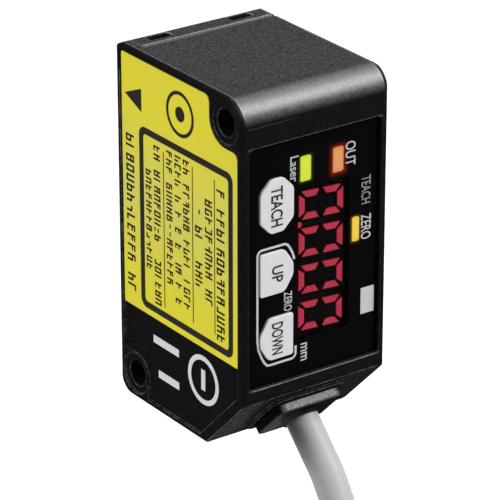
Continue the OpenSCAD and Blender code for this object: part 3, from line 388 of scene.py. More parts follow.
def floor_finish():
    """Pale floor, lifted to white for what sees it as the background, and clear from below."""
    f = Finish("pale_floor")
    base = f.node("ShaderNodeBsdfDiffuse", None, {"Color": FLOOR_GREY})
    strength = f.seen_rays() * FLOOR_LIFT
    lift = f.node("ShaderNodeEmission", None, {"Color": WHITE, "Strength": strength})
    both = f.node("ShaderNodeAddShader", None, {0: base, 1: lift})
    clear = f.node("ShaderNodeBsdfTransparent")
    underside = f.node("ShaderNodeNewGeometry", output="Backfacing")
    whole = f.node("ShaderNodeMixShader", None, {0: underside, 1: both, 2: clear})
    f.node("ShaderNodeOutputMaterial", None, {"Surface": whole})
    return f.material


lit_world(WORLD_LIGHT, seen=1.0)
floor.data.materials.append(floor_finish())
print("world and floor coloured")

# %% [markdown]
# ## Finishes of the case
# The case and its front cover are glass-filled plastic from a spark-eroded mould: a fine matt
# grain that glitters a little under a raking light. The base is nearly black, and the grain
# is a bump a few hundredths of a millimetre deep at two sizes. Painted masks could say where the
# plastic shines and where its edges are pale, but formulas of the place in millimetres are sharper,
# and each has its own line: the crown shines most, the sides hardly at all, and edges are paler in
# patches, partly from wear and partly as painted highlights, with even lines of painted highlight
# along the crest, the seam and the cover's joint.


# %% Wear, painted edge highlights and sheen of the case
# All places are in millimetres, as the axes are
PANEL_OPENING = ((-9.1, -12.8), (9.1, 16.5))
# Pale greys painted on edges: partly wear and partly painted highlight, and the painted highlight line of
# the cover's joint
WEAR_AND_HIGHLIGHT_GREY = (0.12, 0.12, 0.125)
JOINT_HIGHLIGHT_GREY = (0.19, 0.19, 0.195)


def rim_of(x, z, field, reach):
    """One on the upper and lower edge of a field and a tenth on its sides, falling over reach."""
    (x0, z0), (x1, z1) = field
    across = (x - (x0 + x1) / 2).size() - (x1 - x0) / 2
    along = (z - (z0 + z1) / 2).size() - (z1 - z0) / 2
    ends = along.near(0, reach) * across.past(reach, -reach)
    sides = across.near(0, reach) * along.past(reach, -reach)
    return ends.larger(sides * 0.1)


def pale_edge_masks(f, x, y, z, speck):
    """Two masks for pale edges: patches that are partly wear and partly painted highlight, and the painted
    highlight line along the cover's joint.
    """
    edge = f.node("ShaderNodeAttribute", {"attribute_name": "edge"}, output="Fac")
    patches = (f.noise(2.2) * 3.2 - 0.9).clamped()
    side_of_crown = z.past(18.5, 0.5) * x.size().past(9.7, 0.1)
    corner_by_panel = y.past(12.2, 0.3) * x.size().past(8.7, 0.1) * 0.85
    housing_by_joint = z.past(21.5, 0.1) * y.past(-9.05, 0.05) * y.past(-8.1, -0.1)
    bare = (1 - side_of_crown) * (1 - corner_by_panel) * (1 - housing_by_joint)
    wear_and_highlight = edge * bare * (speck * 3 - 0.8).clamped() * (patches * 0.8 + 0.2)
    # Even pale lines on the crest of the long top edges and on the seam at the crown's foot: painted
    # highlights.
    crest = x.size().near(9.46, 0.1) * z.past(20, 0.5) * (speck * 2.4 - 0.4).clamped()
    seam = z.near(18.95, 0.07) * y.past(12, 0.3) * x.past(2, 3) * x.past(9.4, -0.3) * 0.5
    cover_side = x.past(8.3, 0.1) * y.past(-8.8, -0.1)
    # The cover's joint gets an even pale line in the base colour: a painted highlight.
    joint = edge * bare * z.past(21.7, 0.1) * (1 - cover_side) * (speck * 1.4 + 0.1).clamped()
    return wear_and_highlight.larger(crest).larger(seam), joint


def sheen_of(x, y, z, crown):
    """How strongly the plastic shines, from 0 to 1."""
    top = z.past(21.3, 0.6) * 0.23
    rim = rim_of(x, z, PANEL_OPENING, 0.22) * y.past(11.9, 0.3) * 0.4
    flank = x.size().past(9.5, 0.12) * 0.93
    heel = (y - z).past(27, 0.15) * (x.past(5, 2.5) * 0.1 + 0.04)
    return (top.larger(crown).larger(rim) * (1 - flank)).larger(heel).larger(0.018)


# %% Case and cover plastic
def moulded_finish(name, base, grain_mm):
    """Grained black plastic with a thin sheen, strongest where hands rub the crown and rims, and edges
    painted pale, partly as wear and partly as highlights.
    """
    f = Finish(name)
    x, y, z = f.axes()
    fine = f.noise(grain_mm, detail=3, roughness=0.65)
    broad = f.noise(5.5)
    speck = f.noise(grain_mm * 1.7, detail=1)
    wear_and_highlight, joint = pale_edge_masks(f, x, y, z, speck)
    colour = f.mixed((speck * 1.6 - 0.45).clamped(), base, shaded(base, 2))
    # The base colour turns pale on edges: partly wear, partly a painted highlight.
    colour = f.mixed(wear_and_highlight * 0.9, colour, WEAR_AND_HIGHLIGHT_GREY)
    crown = z.past(19.2, 1.2) * y.past(9.0, 2.2) * 0.66
    glitter = 1 + (fine - 0.5) * (3.9 - crown * 4.4)
    return f.surface(
        Base_Color=f.mixed(joint, colour, JOINT_HIGHLIGHT_GREY),
        Roughness=broad.about(0.5, 0.16),
        Specular_IOR_Level=0.0,
        Coat_Weight=(sheen_of(x, y, z, crown) * glitter).clamped(),
        Coat_Roughness=0.5,
        Coat_IOR=2.05,
        Normal=f.bumped(fine * 0.7 + speck * 0.3, 0.03),
    )


case_finish = moulded_finish("case_grain", (0.0042, 0.0042, 0.0048), 0.3)
cover_finish = moulded_finish("cover_grain", (0.004, 0.004, 0.0046), 0.24)
print("case finishes made")

# %% [markdown]
# ## Finishes of film, print and keys
# The label is a satin film, its yellow faintly uneven and paler towards the middle of its height,
# which is a painted reflection. Ink is nearly black-brown and a little matter, and the keys are a
# cloudy white plastic. A flat colour would look like a drawing of these, so each drifts between two
# near colours by a noise of its own size, and so does its roughness.


# %% Film, ink and key finishes
def film_finish(name, base, shade, painted_reflection):
    f = Finish(name)
    x, y, z = f.axes()
    broad = f.noise(9)
    fibre = f.noise(0.35, detail=3)
    colour = f.mixed((broad * 1.4 - 0.2).clamped(), base, shade)
    return f.surface(
        # Paler towards the middle of the label's height: a painted reflection.
        Base_Color=f.mixed(z.near(4.5, 11) * 0.85, colour, painted_reflection),
        Roughness=fibre.about(0.38, 0.1),
        Specular_IOR_Level=0.06,
        Normal=f.bumped(fibre, 0.002),
    )


def ink_finish(name, base):
    f = Finish(name)
    grain = f.noise(0.16)
    return f.surface(
        Base_Color=f.mixed(grain, base, shaded(base, 0.82)),
        Roughness=grain.about(0.5, 0.12),
        Specular_IOR_Level=0.05,
    )


def key_finish(name, base, shade):
    f = Finish(name)
    fine = f.noise(0.12)
    return f.surface(
        Base_Color=f.mixed(f.noise(1.6, detail=3), base, shade),
        Roughness=fine.about(0.36, 0.1),
        Specular_IOR_Level=0.45,
        Normal=f.bumped(fine, 0.002),
    )


# The label's last colour is its painted reflection.
label_finish = film_finish("label_yellow", (0.83, 0.74, 0.035), (0.78, 0.70, 0.045), (0.71, 0.67, 0.13))
label_ink = ink_finish("label_ink", (0.011, 0.009, 0.006))
white_ink = ink_finish("white_ink", (0.62, 0.63, 0.65))
mark_ink = ink_finish("mark_ink", (0.82, 0.82, 0.85))
dim_ink = ink_finish("dim_ink", (0.30, 0.30, 0.32))
grey_ink = ink_finish("grey_ink", (0.62, 0.63, 0.66))
key_ink = ink_finish("key_ink", (0.035, 0.036, 0.042))
key_white = key_finish("key_white", (0.715, 0.71, 0.735), (0.665, 0.66, 0.685))
print("film, ink and key finishes made")

# %% [markdown]
# ## Finishes that glow
# The lights and numerals are lit from behind. Lamps behind clear plastic would need long renders,
# so their colour goes to the emission instead, at a strength that shows it as written. Light also
# bleeds into the panel round them: the panel has a faint glow that fades with the distance from
# each light.


# %% Lights and numerals
def glow_finish(name, middle, half_size, core, edge, dim):
    """A lit window: core colour in the middle, edge colour round it, and a dim strip at each side."""
    f = Finish(name)
    x, y, z = f.axes()
    across = ((x - middle[0]) / half_size[0]).size()
    along = ((z - middle[1]) / half_size[1]).size()
    rim = across.power(4).larger(along.power(6))
    haze = f.noise(0.5)
    colour = f.mixed(haze.about(rim, 0.15).clamped(), core, edge)
    return f.surface(
        Base_Color=(0.02, 0.02, 0.02),
        Roughness=haze.about(0.4, 0.05),
        Specular_IOR_Level=0.05,
        Emission_Color=f.mixed(across.past(0.88, 0.05), colour, dim),
        Emission_Strength=1.0,
    )


def numeral_finish(name, bright, dull):
    f = Finish(name)
    haze = f.noise(0.7)
    return f.surface(
        Base_Color=(0.05, 0.01, 0.015),
        Roughness=haze.about(0.5, 0.1),
        Emission_Color=f.mixed(haze, bright, dull),
        Emission_Strength=1.0,
    )


# The middle of each light's window in X and Z, then half the size of a wide and of a narrow one
LASER_LIGHT = (1.1, 12.4)
OUTPUT_LIGHT = (-3.4, 12.4)
ZERO_LIGHT = (-5.95, 3.3)
WIDE = (0.8, 1.5)
NARROW = (0.55, 1.5)
green_glow = glow_finish("green_glow", LASER_LIGHT, WIDE,
                         (0.64, 0.75, 0.035), (0.50, 0.62, 0.015), (0.04, 0.07, 0.001))
orange_glow = glow_finish("orange_glow", OUTPUT_LIGHT, WIDE,
                          (0.70, 0.31, 0.105), (0.66, 0.13, 0.04), (0.2, 0.015, 0.004))
amber_glow = glow_finish("amber_glow", ZERO_LIGHT, NARROW,
                         (0.83, 0.60, 0.04), (0.74, 0.40, 0.015), (0.14, 0.06, 0.002))
numeral_red = numeral_finish("numeral_red", (0.56, 0.009, 0.050), (0.46, 0.008, 0.040))
print("light finishes made")

# %% Panel finish with the lights' bleed
# Each light's bleed: its middle, half its size, its reach, its strength and its colour
BLEEDS = [
    (OUTPUT_LIGHT, (0.7, 1.4), 0.9, 0.35, (0.60, 0.05, 0.012)),
    (LASER_LIGHT, (0.7, 1.4), 0.55, 0.15, (0.3, 0.5, 0.01)),
    (ZERO_LIGHT, (0.45, 1.4), 0.55, 0.2, (0.7, 0.3, 0.01)),
]


def halo(x, z, middle, half_size, reach):
    """One at a light's edge, falling to nothing at reach from it."""
    dx = ((x - middle[0]).size() - half_size[0]).larger(0)
    dz = ((z - middle[1]).size() - half_size[1]).larger(0)
    distance = (dx * dx + dz * dz).power(0.5)
    return distance.past(reach, -reach).power(2.2)


def panel_finish(name):
    f = Finish(name)
    x, y, z = f.axes()
    fine = f.noise(0.3)
    glow = (0, 0, 0)
    for middle, half_size, reach, strength, colour in BLEEDS:
        glow = f.mixed(halo(x, z, middle, half_size, reach) * strength, glow, colour)
    return f.surface(
        Base_Color=f.mixed(f.noise(7), (0.0009, 0.0009, 0.001), (0.0014, 0.0014, 0.0016)),
        Roughness=fine.about(0.3, 0.06),
        Specular_IOR_Level=0.012,
        Emission_Color=glow,
        Emission_Strength=1.0,
        Normal=f.bumped(fine, 0.0015),
    )


panel_black = panel_finish("panel_black")


# %% Clear windows
def smoked_finish(name, base, alpha, shine=0.03):
    """A dark clear window: mostly a film that lets light through."""
    f = Finish(name)
    fine = f.noise(0.8)
    return f.surface(
        Base_Color=f.mixed(fine, base, shaded(base, 0.8)),
        Roughness=fine.about(0.12, 0.04),
        Specular_IOR_Level=shine,
        Alpha=fine.about(alpha, 0.02),
    )


display_smoke = smoked_finish("display_smoke", (0.004, 0.003, 0.0035), 0.16)
receiver_red = smoked_finish("receiver_red", (0.045, 0.004, 0.006), 0.72, shine=0.5)
emitter_clear = smoked_finish("emitter_clear", (0.10, 0.11, 0.12), 0.35, shine=0.5)
lens_clear = smoked_finish("lens_clear", (0.55, 0.62, 0.68), 0.45, shine=0.5)
unlit_light = smoked_finish("unlit_light", (0.0025, 0.0012, 0.001), 1.0, shine=0.01)
print("panel and window finishes made")

# %% [markdown]
# ## Cable, leads, metals and boards
# The cable's jacket is light grey and faintly dull, with painted shadow on its under side where
# it leaves the gland. The pieces inside the case show through the two front windows and where the
# case is open to view, so they get true finishes too: solder mask, brass, plated steel, moulded
# black. What is moulded or extruded differs only in its numbers, so those share one recipe.


# %% Rubber, jacket and lead finishes
# Where the cable leaves the gland, in the heel's own directions
EXIT_ALONG = 21.2
EXIT_OFF = -6.6


def heel_axes(y, z):
    """Places along the cable's way out of the heel and square to it, in millimetres."""
    return (y - z) / math.sqrt(2), (y + z) / math.sqrt(2)


def rubber_finish(name, base, gloss=0.5, grain_mm=0.3, depth_mm=0.006, shine=0.4):
    f = Finish(name)
    fine = f.noise(grain_mm, detail=3)
    drift = (f.noise(6) * 1.5 - 0.25).clamped()
    return f.surface(
        Base_Color=f.mixed(drift, base, shaded(base, 0.85)),
        Roughness=fine.about(gloss, 0.14),
        Specular_IOR_Level=shine,
        Normal=f.bumped(fine, depth_mm),
    )


def jacket_finish(name, base, shade, painted_shadow_colour):
    """Light grey jacket with a painted shadow on its under side where it leaves the gland."""
    f = Finish(name)
    x, y, z = f.axes()
    fine = f.noise(0.3, detail=3)
    drift = (f.noise(6) * 1.5 - 0.25).clamped()
    along, off = heel_axes(y, z)
    past_exit = along - EXIT_ALONG
    under = ((x - (off - EXIT_OFF)) * 0.35 + 0.4).clamped()
    # Painted shadow: darker on one side for 7 mm past the exit, and more widely within 1.6 mm of it.
    painted_shadow = (under * past_exit.past(7, -7) * 1.15).clamped()
    painted_shadow = painted_shadow.larger((under + 0.35).clamped() * past_exit.past(1.6, -1.6))
    return f.surface(
        Base_Color=f.mixed(painted_shadow * 0.9, f.mixed(drift, base, shade), painted_shadow_colour),
        Roughness=fine.about(0.5, 0.14),
        Specular_IOR_Level=0.3,
        Normal=f.bumped(fine, 0.006),
    )


def gland_finish(name, base, painted_highlight_colour):
    """Moulded rubber: dull, but for its upper edge, which is speckled, shinier and painted lighter as a
    highlight.
    """
    f = Finish(name)
    x, y, z = f.axes()
    fine = f.noise(0.2, detail=4, roughness=0.75)
    along, off = heel_axes(y, z)
    band = off.past(-3.4, 0.15)
    face = along.past(20.62, 0.08) * x.past(0.5, 2) * 0.22
    return f.surface(
        # Painted highlight: the band along the upper edge is lighter in the base colour.
        Base_Color=f.mixed(band * fine, base, painted_highlight_colour),
        Roughness=fine.about(0.55, 0.1),
        Specular_IOR_Level=0.0,
        Coat_Weight=((band * (fine * 3 - 0.9)).clamped() * 0.62).larger(face).larger(0.02),
        Coat_Roughness=0.5,
        Coat_IOR=2.05,
        Normal=f.bumped(fine, 0.06),
    )


# %% Colours of rubber, jacket and leads
LEAD_COLOURS = {
    "brown_lead": (0.20, 0.085, 0.04),
    "blue_lead": (0.03, 0.11, 0.42),
    "black_lead": (0.02, 0.02, 0.02),
    "pink_lead": (0.72, 0.27, 0.36),
    "grey_lead": (0.30, 0.31, 0.33),
}
# The jacket's last colour is that of its painted shadow.
jacket = jacket_finish("cable_grey", (0.41, 0.405, 0.41), (0.37, 0.365, 0.37), (0.035, 0.03, 0.03))
gland_rubber = gland_finish("gland_black", (0.006, 0.006, 0.007), (0.03, 0.03, 0.033))
strap_black = rubber_finish("strap_black", (0.012, 0.012, 0.013), gloss=0.6, grain_mm=0.25, depth_mm=0.03)
gasket_grey = rubber_finish("gasket_grey", (0.03, 0.03, 0.032), gloss=0.7)
display_black = rubber_finish("display_black", (0.002, 0.002, 0.002), shine=0.02)
inner_black = rubber_finish("inner_black", (0.02, 0.02, 0.022), gloss=0.55, depth_mm=0.004)
chip_black = rubber_finish("chip_black", (0.03, 0.03, 0.032), gloss=0.6, depth_mm=0.004)
chip_white = rubber_finish("chip_white", (0.7, 0.68, 0.6))
ivory = rubber_finish("connector_ivory", (0.72, 0.68, 0.58), gloss=0.45, depth_mm=0.003)
flex_amber = rubber_finish("flex_amber", (0.42, 0.19, 0.035), gloss=0.3, depth_mm=0.002)
lead_finishes = {name: rubber_finish(name, base, gloss=0.4) for name, base in LEAD_COLOURS.items()}
print("lead finishes:", len(lead_finishes))


# %% Metal and board finishes
def metal_finish(name, base, gloss, streak=(1, 1, 1)):
    f = Finish(name)
    fine = f.noise(0.12, detail=3, stretch=streak)
    return f.surface(
        Base_Color=f.mixed(fine, base, shaded(base, 0.78)),
        Metallic=1.0,
        Roughness=fine.about(gloss, 0.16),
        Normal=f.bumped(fine, 0.003),
    )


def board_finish(name, base, copper):
    """Solder mask with faint tracks under it."""
    f = Finish(name)
    x, y, z = f.axes()
    tracks = ((z * 1.7).wave() * 4 - 2.4).clamped() * (f.noise(2.5, detail=1) * 6 - 3).clamped()
    return f.surface(
        Base_Color=f.mixed(tracks, base, copper),
        Roughness=f.noise(0.2).about(0.34, 0.08),
        Specular_IOR_Level=0.5,
        Normal=f.bumped(tracks, 0.01),
    )


steel = metal_finish("plated_steel", (0.62, 0.62, 0.63), 0.3)
tin = metal_finish("tinned_copper", (0.66, 0.65, 0.63), 0.32)
brass = metal_finish("turned_brass", (0.70, 0.48, 0.20), 0.28, streak=(1, 6, 1))
gold = metal_finish("plated_gold", (0.80, 0.58, 0.26), 0.25)
mask_green = board_finish("mask_green", (0.012, 0.10, 0.045), (0.03, 0.17, 0.07))
print("materials:", len(bpy.data.materials))

# %% [markdown]
# ## CAD nodes that keep their shape
# A CAD node may keep its mesh and only get a new material. That is right for what is flat or
# hidden. All slots of a node take the same finish.

# %% Dress the nodes that stay
STAYING = {
    "cover_gasket": gasket_grey, "emitter_window": emitter_clear, "receiver_window": receiver_red,
    "label_print": label_ink, "display_window": display_smoke, "panel_carrier": inner_black,
    "laser_light": green_glow, "output_light": orange_glow, "zero_light": amber_glow,
    "teach_light": unlit_light, "display_module": display_black, "display_board": mask_green,
    "key_switches": steel, "indicator_chips": chip_white, "main_board": mask_green,
    "main_board_chips": chip_black, "board_connector": ivory, "board_flexes": flex_amber,
    "cable_connector": ivory, "board_screws": steel, "optical_block": inner_black,
    "diode_sleeve": brass, "collimator_lens": lens_clear, "laser_diode": gold,
    "laser_board": mask_green, "lens_holder": inner_black, "receiver_lens": lens_clear,
    "image_sensor": chip_black, "sensor_board": mask_green, "block_screws": steel,
    "cable_inlet": jacket, "cable_clamp": steel, "inner_leads": lead_finishes["grey_lead"],
}


def dress(obj, finish):
    """Gives one finish to the whole of an object."""
    obj.data.materials.clear()
    obj.data.materials.append(finish)


for name, finish in STAYING.items():
    dress(nodes[name], finish)
print("dressed CAD nodes:", len(STAYING))

# %% [markdown]
# ## Moulded pieces with soft edges
# No moulded edge is sharp: each has a radius of a tenth of a millimetre or so, and it is that
# narrow strip that catches the light and draws the shape. A CAD mesh is loose triangles, so a
# copy has its corners merged before the Bevel modifier rounds the edges between faces that
# differ in direction. The normals are then set so that the largest plane at a corner counts most:
# flat faces stay flat in the shading, and only the roundings bend the light. Each face of a
# rounded edge is marked, so that the case's finish can show wear and a painted highlight there.


# %% Steps that the pieces share
def applied(obj):
    """The object's mesh with its modifiers worked in."""
    graph = bpy.context.evaluated_depsgraph_get()
    mesh = bpy.data.meshes.new_from_object(obj.evaluated_get(graph), depsgraph=graph)
    obj.modifiers.clear()
    return mesh


def used_up(holder):
    """The finished mesh of an object that is only there to make it."""
    mesh = applied(holder)
    bpy.data.objects.remove(holder)
    return mesh


def welded(node):
    """A CAD node's mesh, open for edits, with the corners of its triangles merged."""
    shape = bmesh.new()
    shape.from_mesh(nodes[node].data)
    bmesh.ops.remove_doubles(shape, verts=shape.verts, dist=0.002 * MM)
    return shape


def closed_mesh(shape, name):
    """The mesh of a shape that was open for edits."""
    mesh = bpy.data.meshes.new(name)
    shape.to_mesh(mesh)
    shape.free()
    return mesh


def placed(piece, finish, body, slot, *replaced):
    """Gives a piece its finish and body; its slot is not used. It may stand for CAD nodes."""
    dress(piece, finish)
    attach(piece, body)
    if replaced:
        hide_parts(*replaced)
    print(piece.name, "has", len(piece.data.polygons), "faces")
    return piece


# %% Soft edges for a copy of a CAD node
SHARP = math.radians(35)
SMOOTH_WITHIN = math.radians(50)


def mark_edges(mesh):
    """Writes a number on each face: one where the bevel made it, which gave it the second slot."""
    slots = [face.material_index for face in mesh.polygons]
    edge = mesh.attributes.new("edge", "FLOAT", "FACE")
    edge.data.foreach_set("value", slots)
    mesh.polygons.foreach_set("material_index", [0] * len(slots))


def favour_flats(mesh):
    """Gives each corner the mean normal of its smooth neighbours, weighed by how large their plane is."""
    planes = {}
    keys = []
    around = [[] for _ in mesh.vertices]
    faces = mesh.polygons
    for face in faces:
        n = face.normal
        key = (round(n.x, 3), round(n.y, 3), round(n.z, 3), round(n.dot(face.center), 6))
        keys.append(key)
        planes[key] = planes.get(key, 0) + face.area
        for vertex in face.vertices:
            around[vertex].append(face.index)
    corners = []
    for face in faces:
        for vertex in face.vertices:
            total = Vector()
            for near in around[vertex]:
                if faces[near].normal.dot(face.normal) > math.cos(SMOOTH_WITHIN):
                    total += faces[near].normal * planes[keys[near]]
            corners.append(total.normalized())
    mesh.shade_smooth()
    mesh.normals_split_custom_set(corners)


def softened(node, name, width_mm, finish, body, slot, segments=2):
    """A copy of a CAD node with rounded edges, which then stands for that node."""
    piece = linked(name, closed_mesh(welded(node), name))
    # The second slot is for what the bevel makes
    for _ in range(2):
        piece.data.materials.append(finish)
    bevel = piece.modifiers.new("edges", "BEVEL")
    bevel.width = width_mm * MM
    bevel.segments = segments
    bevel.limit_method = "ANGLE"
    bevel.angle_limit = SHARP
    bevel.use_clamp_overlap = False
    bevel.loop_slide = False
    bevel.material = 1
    piece.data = applied(piece)
    mark_edges(piece.data)
    favour_flats(piece.data)
    return placed(piece, finish, body, slot, node)


# %% Case, cover, panel, gland and strap
softened("housing", "case_moulding", 0.1, case_finish, "case", "case_black")
softened("front_cover", "front_cover_moulding", 0.1, cover_finish, "case", "cover_black")
softened("operation_panel", "panel_plate", 0.05, panel_black, "case", "panel_black")
softened("cable_gland", "gland_moulding", 0.15, gland_rubber, "case", "gland_black")
strap = softened("coil_tie", "coil_strap", 0.12, strap_black, "case", "gland_black")

# %% Keys, which move with their own bodies
KEYS = {"teach_key": "teach_button", "up_key": "up_button", "down_key": "down_button"}
for node, body in KEYS.items():
    softened(node, node + "_cap", 0.09, key_white, body, "key_white", segments=3)

# %% [markdown]
# ## Numerals with dark joints between their bars
# On the real display a dark joint parts the seven bars of each figure. The CAD part's joint is
# narrower, so each bar is made a little slimmer: every upright wall moves inwards along its own
# normal. Scaling the bars would not do, because their slanted ends have to stay parallel.


# %% Slimmer bars
def slimmer(node, name, inset_mm, finish, body, slot):
    """A copy of a CAD node whose walls along Y stand inwards, which then stands for that node."""
    shape = welded(node)
    moves = []
    for vertex in shape.verts:
        walls = []
        for face in vertex.link_faces:
            if abs(face.normal.y) < 0.5 and all(face.normal.dot(wall) < 0.99 for wall in walls):
                walls.append(face.normal.copy())
        meeting = walls[0].dot(walls[-1]) if len(walls) > 1 else 0
        moves.append(sum(walls, Vector()) / (1 + meeting))
    for vertex, move in zip(shape.verts, moves):
        vertex.co -= move * inset_mm * MM
    placed(linked(name, closed_mesh(shape, name)), finish, body, slot, node)


slimmer("display_bars", "numeral_bars", 0.08, numeral_red, "case", "display_red")

# %% [markdown]
# ## Label film
# The film is cut with round corners, and the two beside the upper mounting pad show it best. The
# CAD film is sharp there. Its outline is taken from its large face, points are added along it,
# and those near the two corners settle towards their neighbours until the corner is a bend.


# %% Film with round corners by the upper pad
CORNER_REACH = 0.75 * MM
FILM_STEP = 0.12 * MM
SHARP_TURN = 0.45
SETTLING_ROUNDS = 60
# A corner past this Y and Z lies beside the upper pad
PAD_FROM = (3 * MM, 8 * MM)


def neighbours(points):
    """Each point of a closed outline with the ones before and after it."""
    return zip(points[-1:] + points[:-1], points, points[1:] + points[:1])


def finer(points):
    """A closed outline with points no further apart than a step."""
    found = []
    for _, a, b in neighbours(points):
        parts = max(1, math.ceil((b - a).length / FILM_STEP))
        found += [a.lerp(b, k / parts) for k in range(parts)]
    return found


def rounded_near(points, corner):
    """Lets the outline's points near a corner settle into a smooth bend."""
    for _ in range(SETTLING_ROUNDS):
        points = [
            (p * 2 + a + b) / 4 if (p - corner).length < CORNER_REACH else p
            for a, p, b in neighbours(points)
        ]
    return points


def rounded_film(node, name, finish, body, slot):
    """A copy of the film, rounded where a sharp turn lies beside the upper pad."""
    shape = welded(node)
    bmesh.ops.dissolve_limit(shape, angle_limit=0.02, verts=shape.verts, edges=shape.edges)
    face = max(shape.faces, key=lambda f: f.normal.x * f.calc_area())
    outline = [v.co.copy() for v in face.verts]
    thick = outline[0].x - min(v.co.x for v in shape.verts)
    shape.free()
    corners = [
        b for a, b, c in neighbours(outline)
        if (b - a).angle(c - b) > SHARP_TURN and b.y > PAD_FROM[0] and b.z > PAD_FROM[1]
    ]
    outline = finer(outline)
    for corner in corners:
        outline = rounded_near(outline, corner)
    shape = bmesh.new()
    outer = [shape.verts.new(p) for p in outline]
    inner = [shape.verts.new(p - Vector((thick, 0, 0))) for p in outline]
    shape.faces.new(outer)
    shape.faces.new(inner[::-1])
    for k in range(len(outer)):
        shape.faces.new((outer[k - 1], inner[k - 1], inner[k], outer[k]))
    bmesh.ops.recalc_face_normals(shape, faces=shape.faces)
    bmesh.ops.triangulate(shape, faces=[f for f in shape.faces if len(f.verts) > 4])
    placed(linked(name, closed_mesh(shape, name)), finish, body, slot, node)
    print("rounded corners:", len(corners))


rounded_film("side_label", "label_film", label_finish, "case", "label_yellow")

# %% [markdown]
# ## Print on the label
# The label carries writing that says nothing: rows of short strokes with the weight and the gaps
# of small print, thin rules between them, and a plain ring at the top. The strokes repeat by the
# hundred, so Geometry Nodes set them: a line of points, some dropped for the gaps between words,
# and on each point a chance pick of upright strokes and dashes.


# %% Trees
class Tree:
    """A Geometry Nodes tree with named inputs, built node by node."""

    def __init__(self, name, inputs):
        """Each input has a kind of socket and a default, if any."""
        self.tree = bpy.data.node_groups.new(name, "GeometryNodeTree")
        new_socket = self.tree.interface.new_socket
        for key, (kind, default) in inputs.items():
            socket = new_socket(key, in_out="INPUT", socket_type="NodeSocket" + kind)
            if default is not None:
                socket.default_value = default
        new_socket("Geometry", in_out="OUTPUT", socket_type="NodeSocketGeometry")
        self.inputs = self.tree.nodes.new("NodeGroupInput").outputs

    def add(self, kind, settings=None, sockets=None, output=0):
        return add_node(self.tree, kind, settings, sockets).outputs[output]

    def product(self, a, b):
        return self.add("ShaderNodeMath", {"operation": "MULTIPLY"}, {0: a, 1: b})

    def joined(self, shapes):
        join = self.tree.nodes.new("GeometryNodeJoinGeometry")
        for shape in shapes:
            self.tree.links.new(shape, join.inputs[0])
        return join.outputs[0]

    def ended(self, shape, material):
        """Ends the tree in plain geometry with a material."""
        real = self.add("GeometryNodeRealizeInstances", None, {"Geometry": shape})
        inked = self.add("GeometryNodeSetMaterial", None, {"Geometry": real, "Material": material})
        self.tree.links.new(inked, self.tree.nodes.new("NodeGroupOutput").inputs[0])
        print(self.tree.name, "has", len(self.tree.nodes), "nodes")
        return self.tree


def grown(tree, values, holder=None):
    """The plain mesh that a tree makes with the named inputs, from the holder's shape if it has one."""
    holder = holder or linked("holder", bpy.data.meshes.new("holder"))
    modifier = holder.modifiers.new("tree", "NODES")
    modifier.node_group = tree
    for item in tree.interface.items_tree:
        if item.item_type == "SOCKET" and item.in_out == "INPUT" and item.name in values:
            modifier[item.identifier] = values[item.name]
    return used_up(holder)


# %% Tree that sets a row of strokes
STROKE_INPUTS = {
    "Start": ("Vector", None), "Step": ("Vector", None), "Count": ("Int", 10), "Height": ("Float", 0.001),
    "Stroke": ("Float", 0.0002), "Rise": ("Float", 0.00002), "Seed": ("Int", 1), "Ink": ("Material", None),
}
GAP_CHANCE = 0.15
HALF_STROKE = 0.6
DASH_SHARE = 0.5
# Each kind of stroke: its place along the step and across the row, its form and its chance
STROKE_KINDS = [
    (0.0, 0.0, "upright", 0.9), (0.5, 0.0, "upright", 0.35), (0.5, -0.2, "half", 0.4),
    (0.25, 0.42, "dash", 0.4), (0.25, 0.1, "dash", 0.7), (0.25, -0.42, "dash", 0.35),
]


def stroke_tree():
    """A row of strokes of chance kinds on a line of points."""
    t = Tree("rows_of_strokes", STROKE_INPUTS)
    start, step, count, height, stroke, rise, seed, ink = t.inputs[:len(STROKE_INPUTS)]

    def picked(chance, own_seed):
        sockets = {"Probability": chance, "Seed": own_seed}
        return t.add("FunctionNodeRandomValue", {"data_type": "BOOLEAN"}, sockets, "Value")

    line = t.add("GeometryNodeMeshLine", {"mode": "OFFSET"},
                 {"Count": count, "Start Location": start, "Offset": step})
    points = t.add("GeometryNodeDeleteGeometry", {"domain": "POINT"},
                   {"Geometry": line, "Selection": picked(GAP_CHANCE, seed)})
    cube = t.add("GeometryNodeMeshCube", None, {"Size": (1, 1, 1)})
    reach = t.add("ShaderNodeVectorMath", {"operation": "LENGTH"}, {0: step}, "Value")
    forms = {
        "upright": (height, stroke),
        "half": (t.product(height, HALF_STROKE), stroke),
        "dash": (stroke, t.product(reach, DASH_SHARE)),
    }
    shapes = []
    for kind, (along, across, form, chance) in enumerate(STROKE_KINDS, 3):
        lift = t.add("ShaderNodeCombineXYZ", None, {1: t.product(height, across)})
        shift = t.add("ShaderNodeVectorMath", {"operation": "SCALE"}, {0: step, "Scale": along})
        offset = t.add("ShaderNodeVectorMath", {"operation": "ADD"}, {0: shift, 1: lift})
        moved = t.add("GeometryNodeSetPosition", None, {"Geometry": points, "Offset": offset})
        size = t.add("ShaderNodeCombineXYZ", None, {0: rise, 1: forms[form][0], 2: forms[form][1]})
        own_seed = t.add("ShaderNodeMath", {"operation": "MULTIPLY_ADD"}, {0: seed, 1: 10, 2: kind})
        shapes.append(t.add("GeometryNodeInstanceOnPoints", None,
                            {"Points": moved, "Selection": picked(chance, own_seed),
                             "Instance": cube, "Scale": size}))
    return t.ended(t.joined(shapes), ink)


strokes = stroke_tree()


# %% Rows of strokes on the label
LABEL_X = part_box("side_label")[1].x
INK_RISE = 0.03
# A stroke is a share of its row's height wide, and a little more
STROKE_SHARE = 0.11
STROKE_EXTRA = 0.08
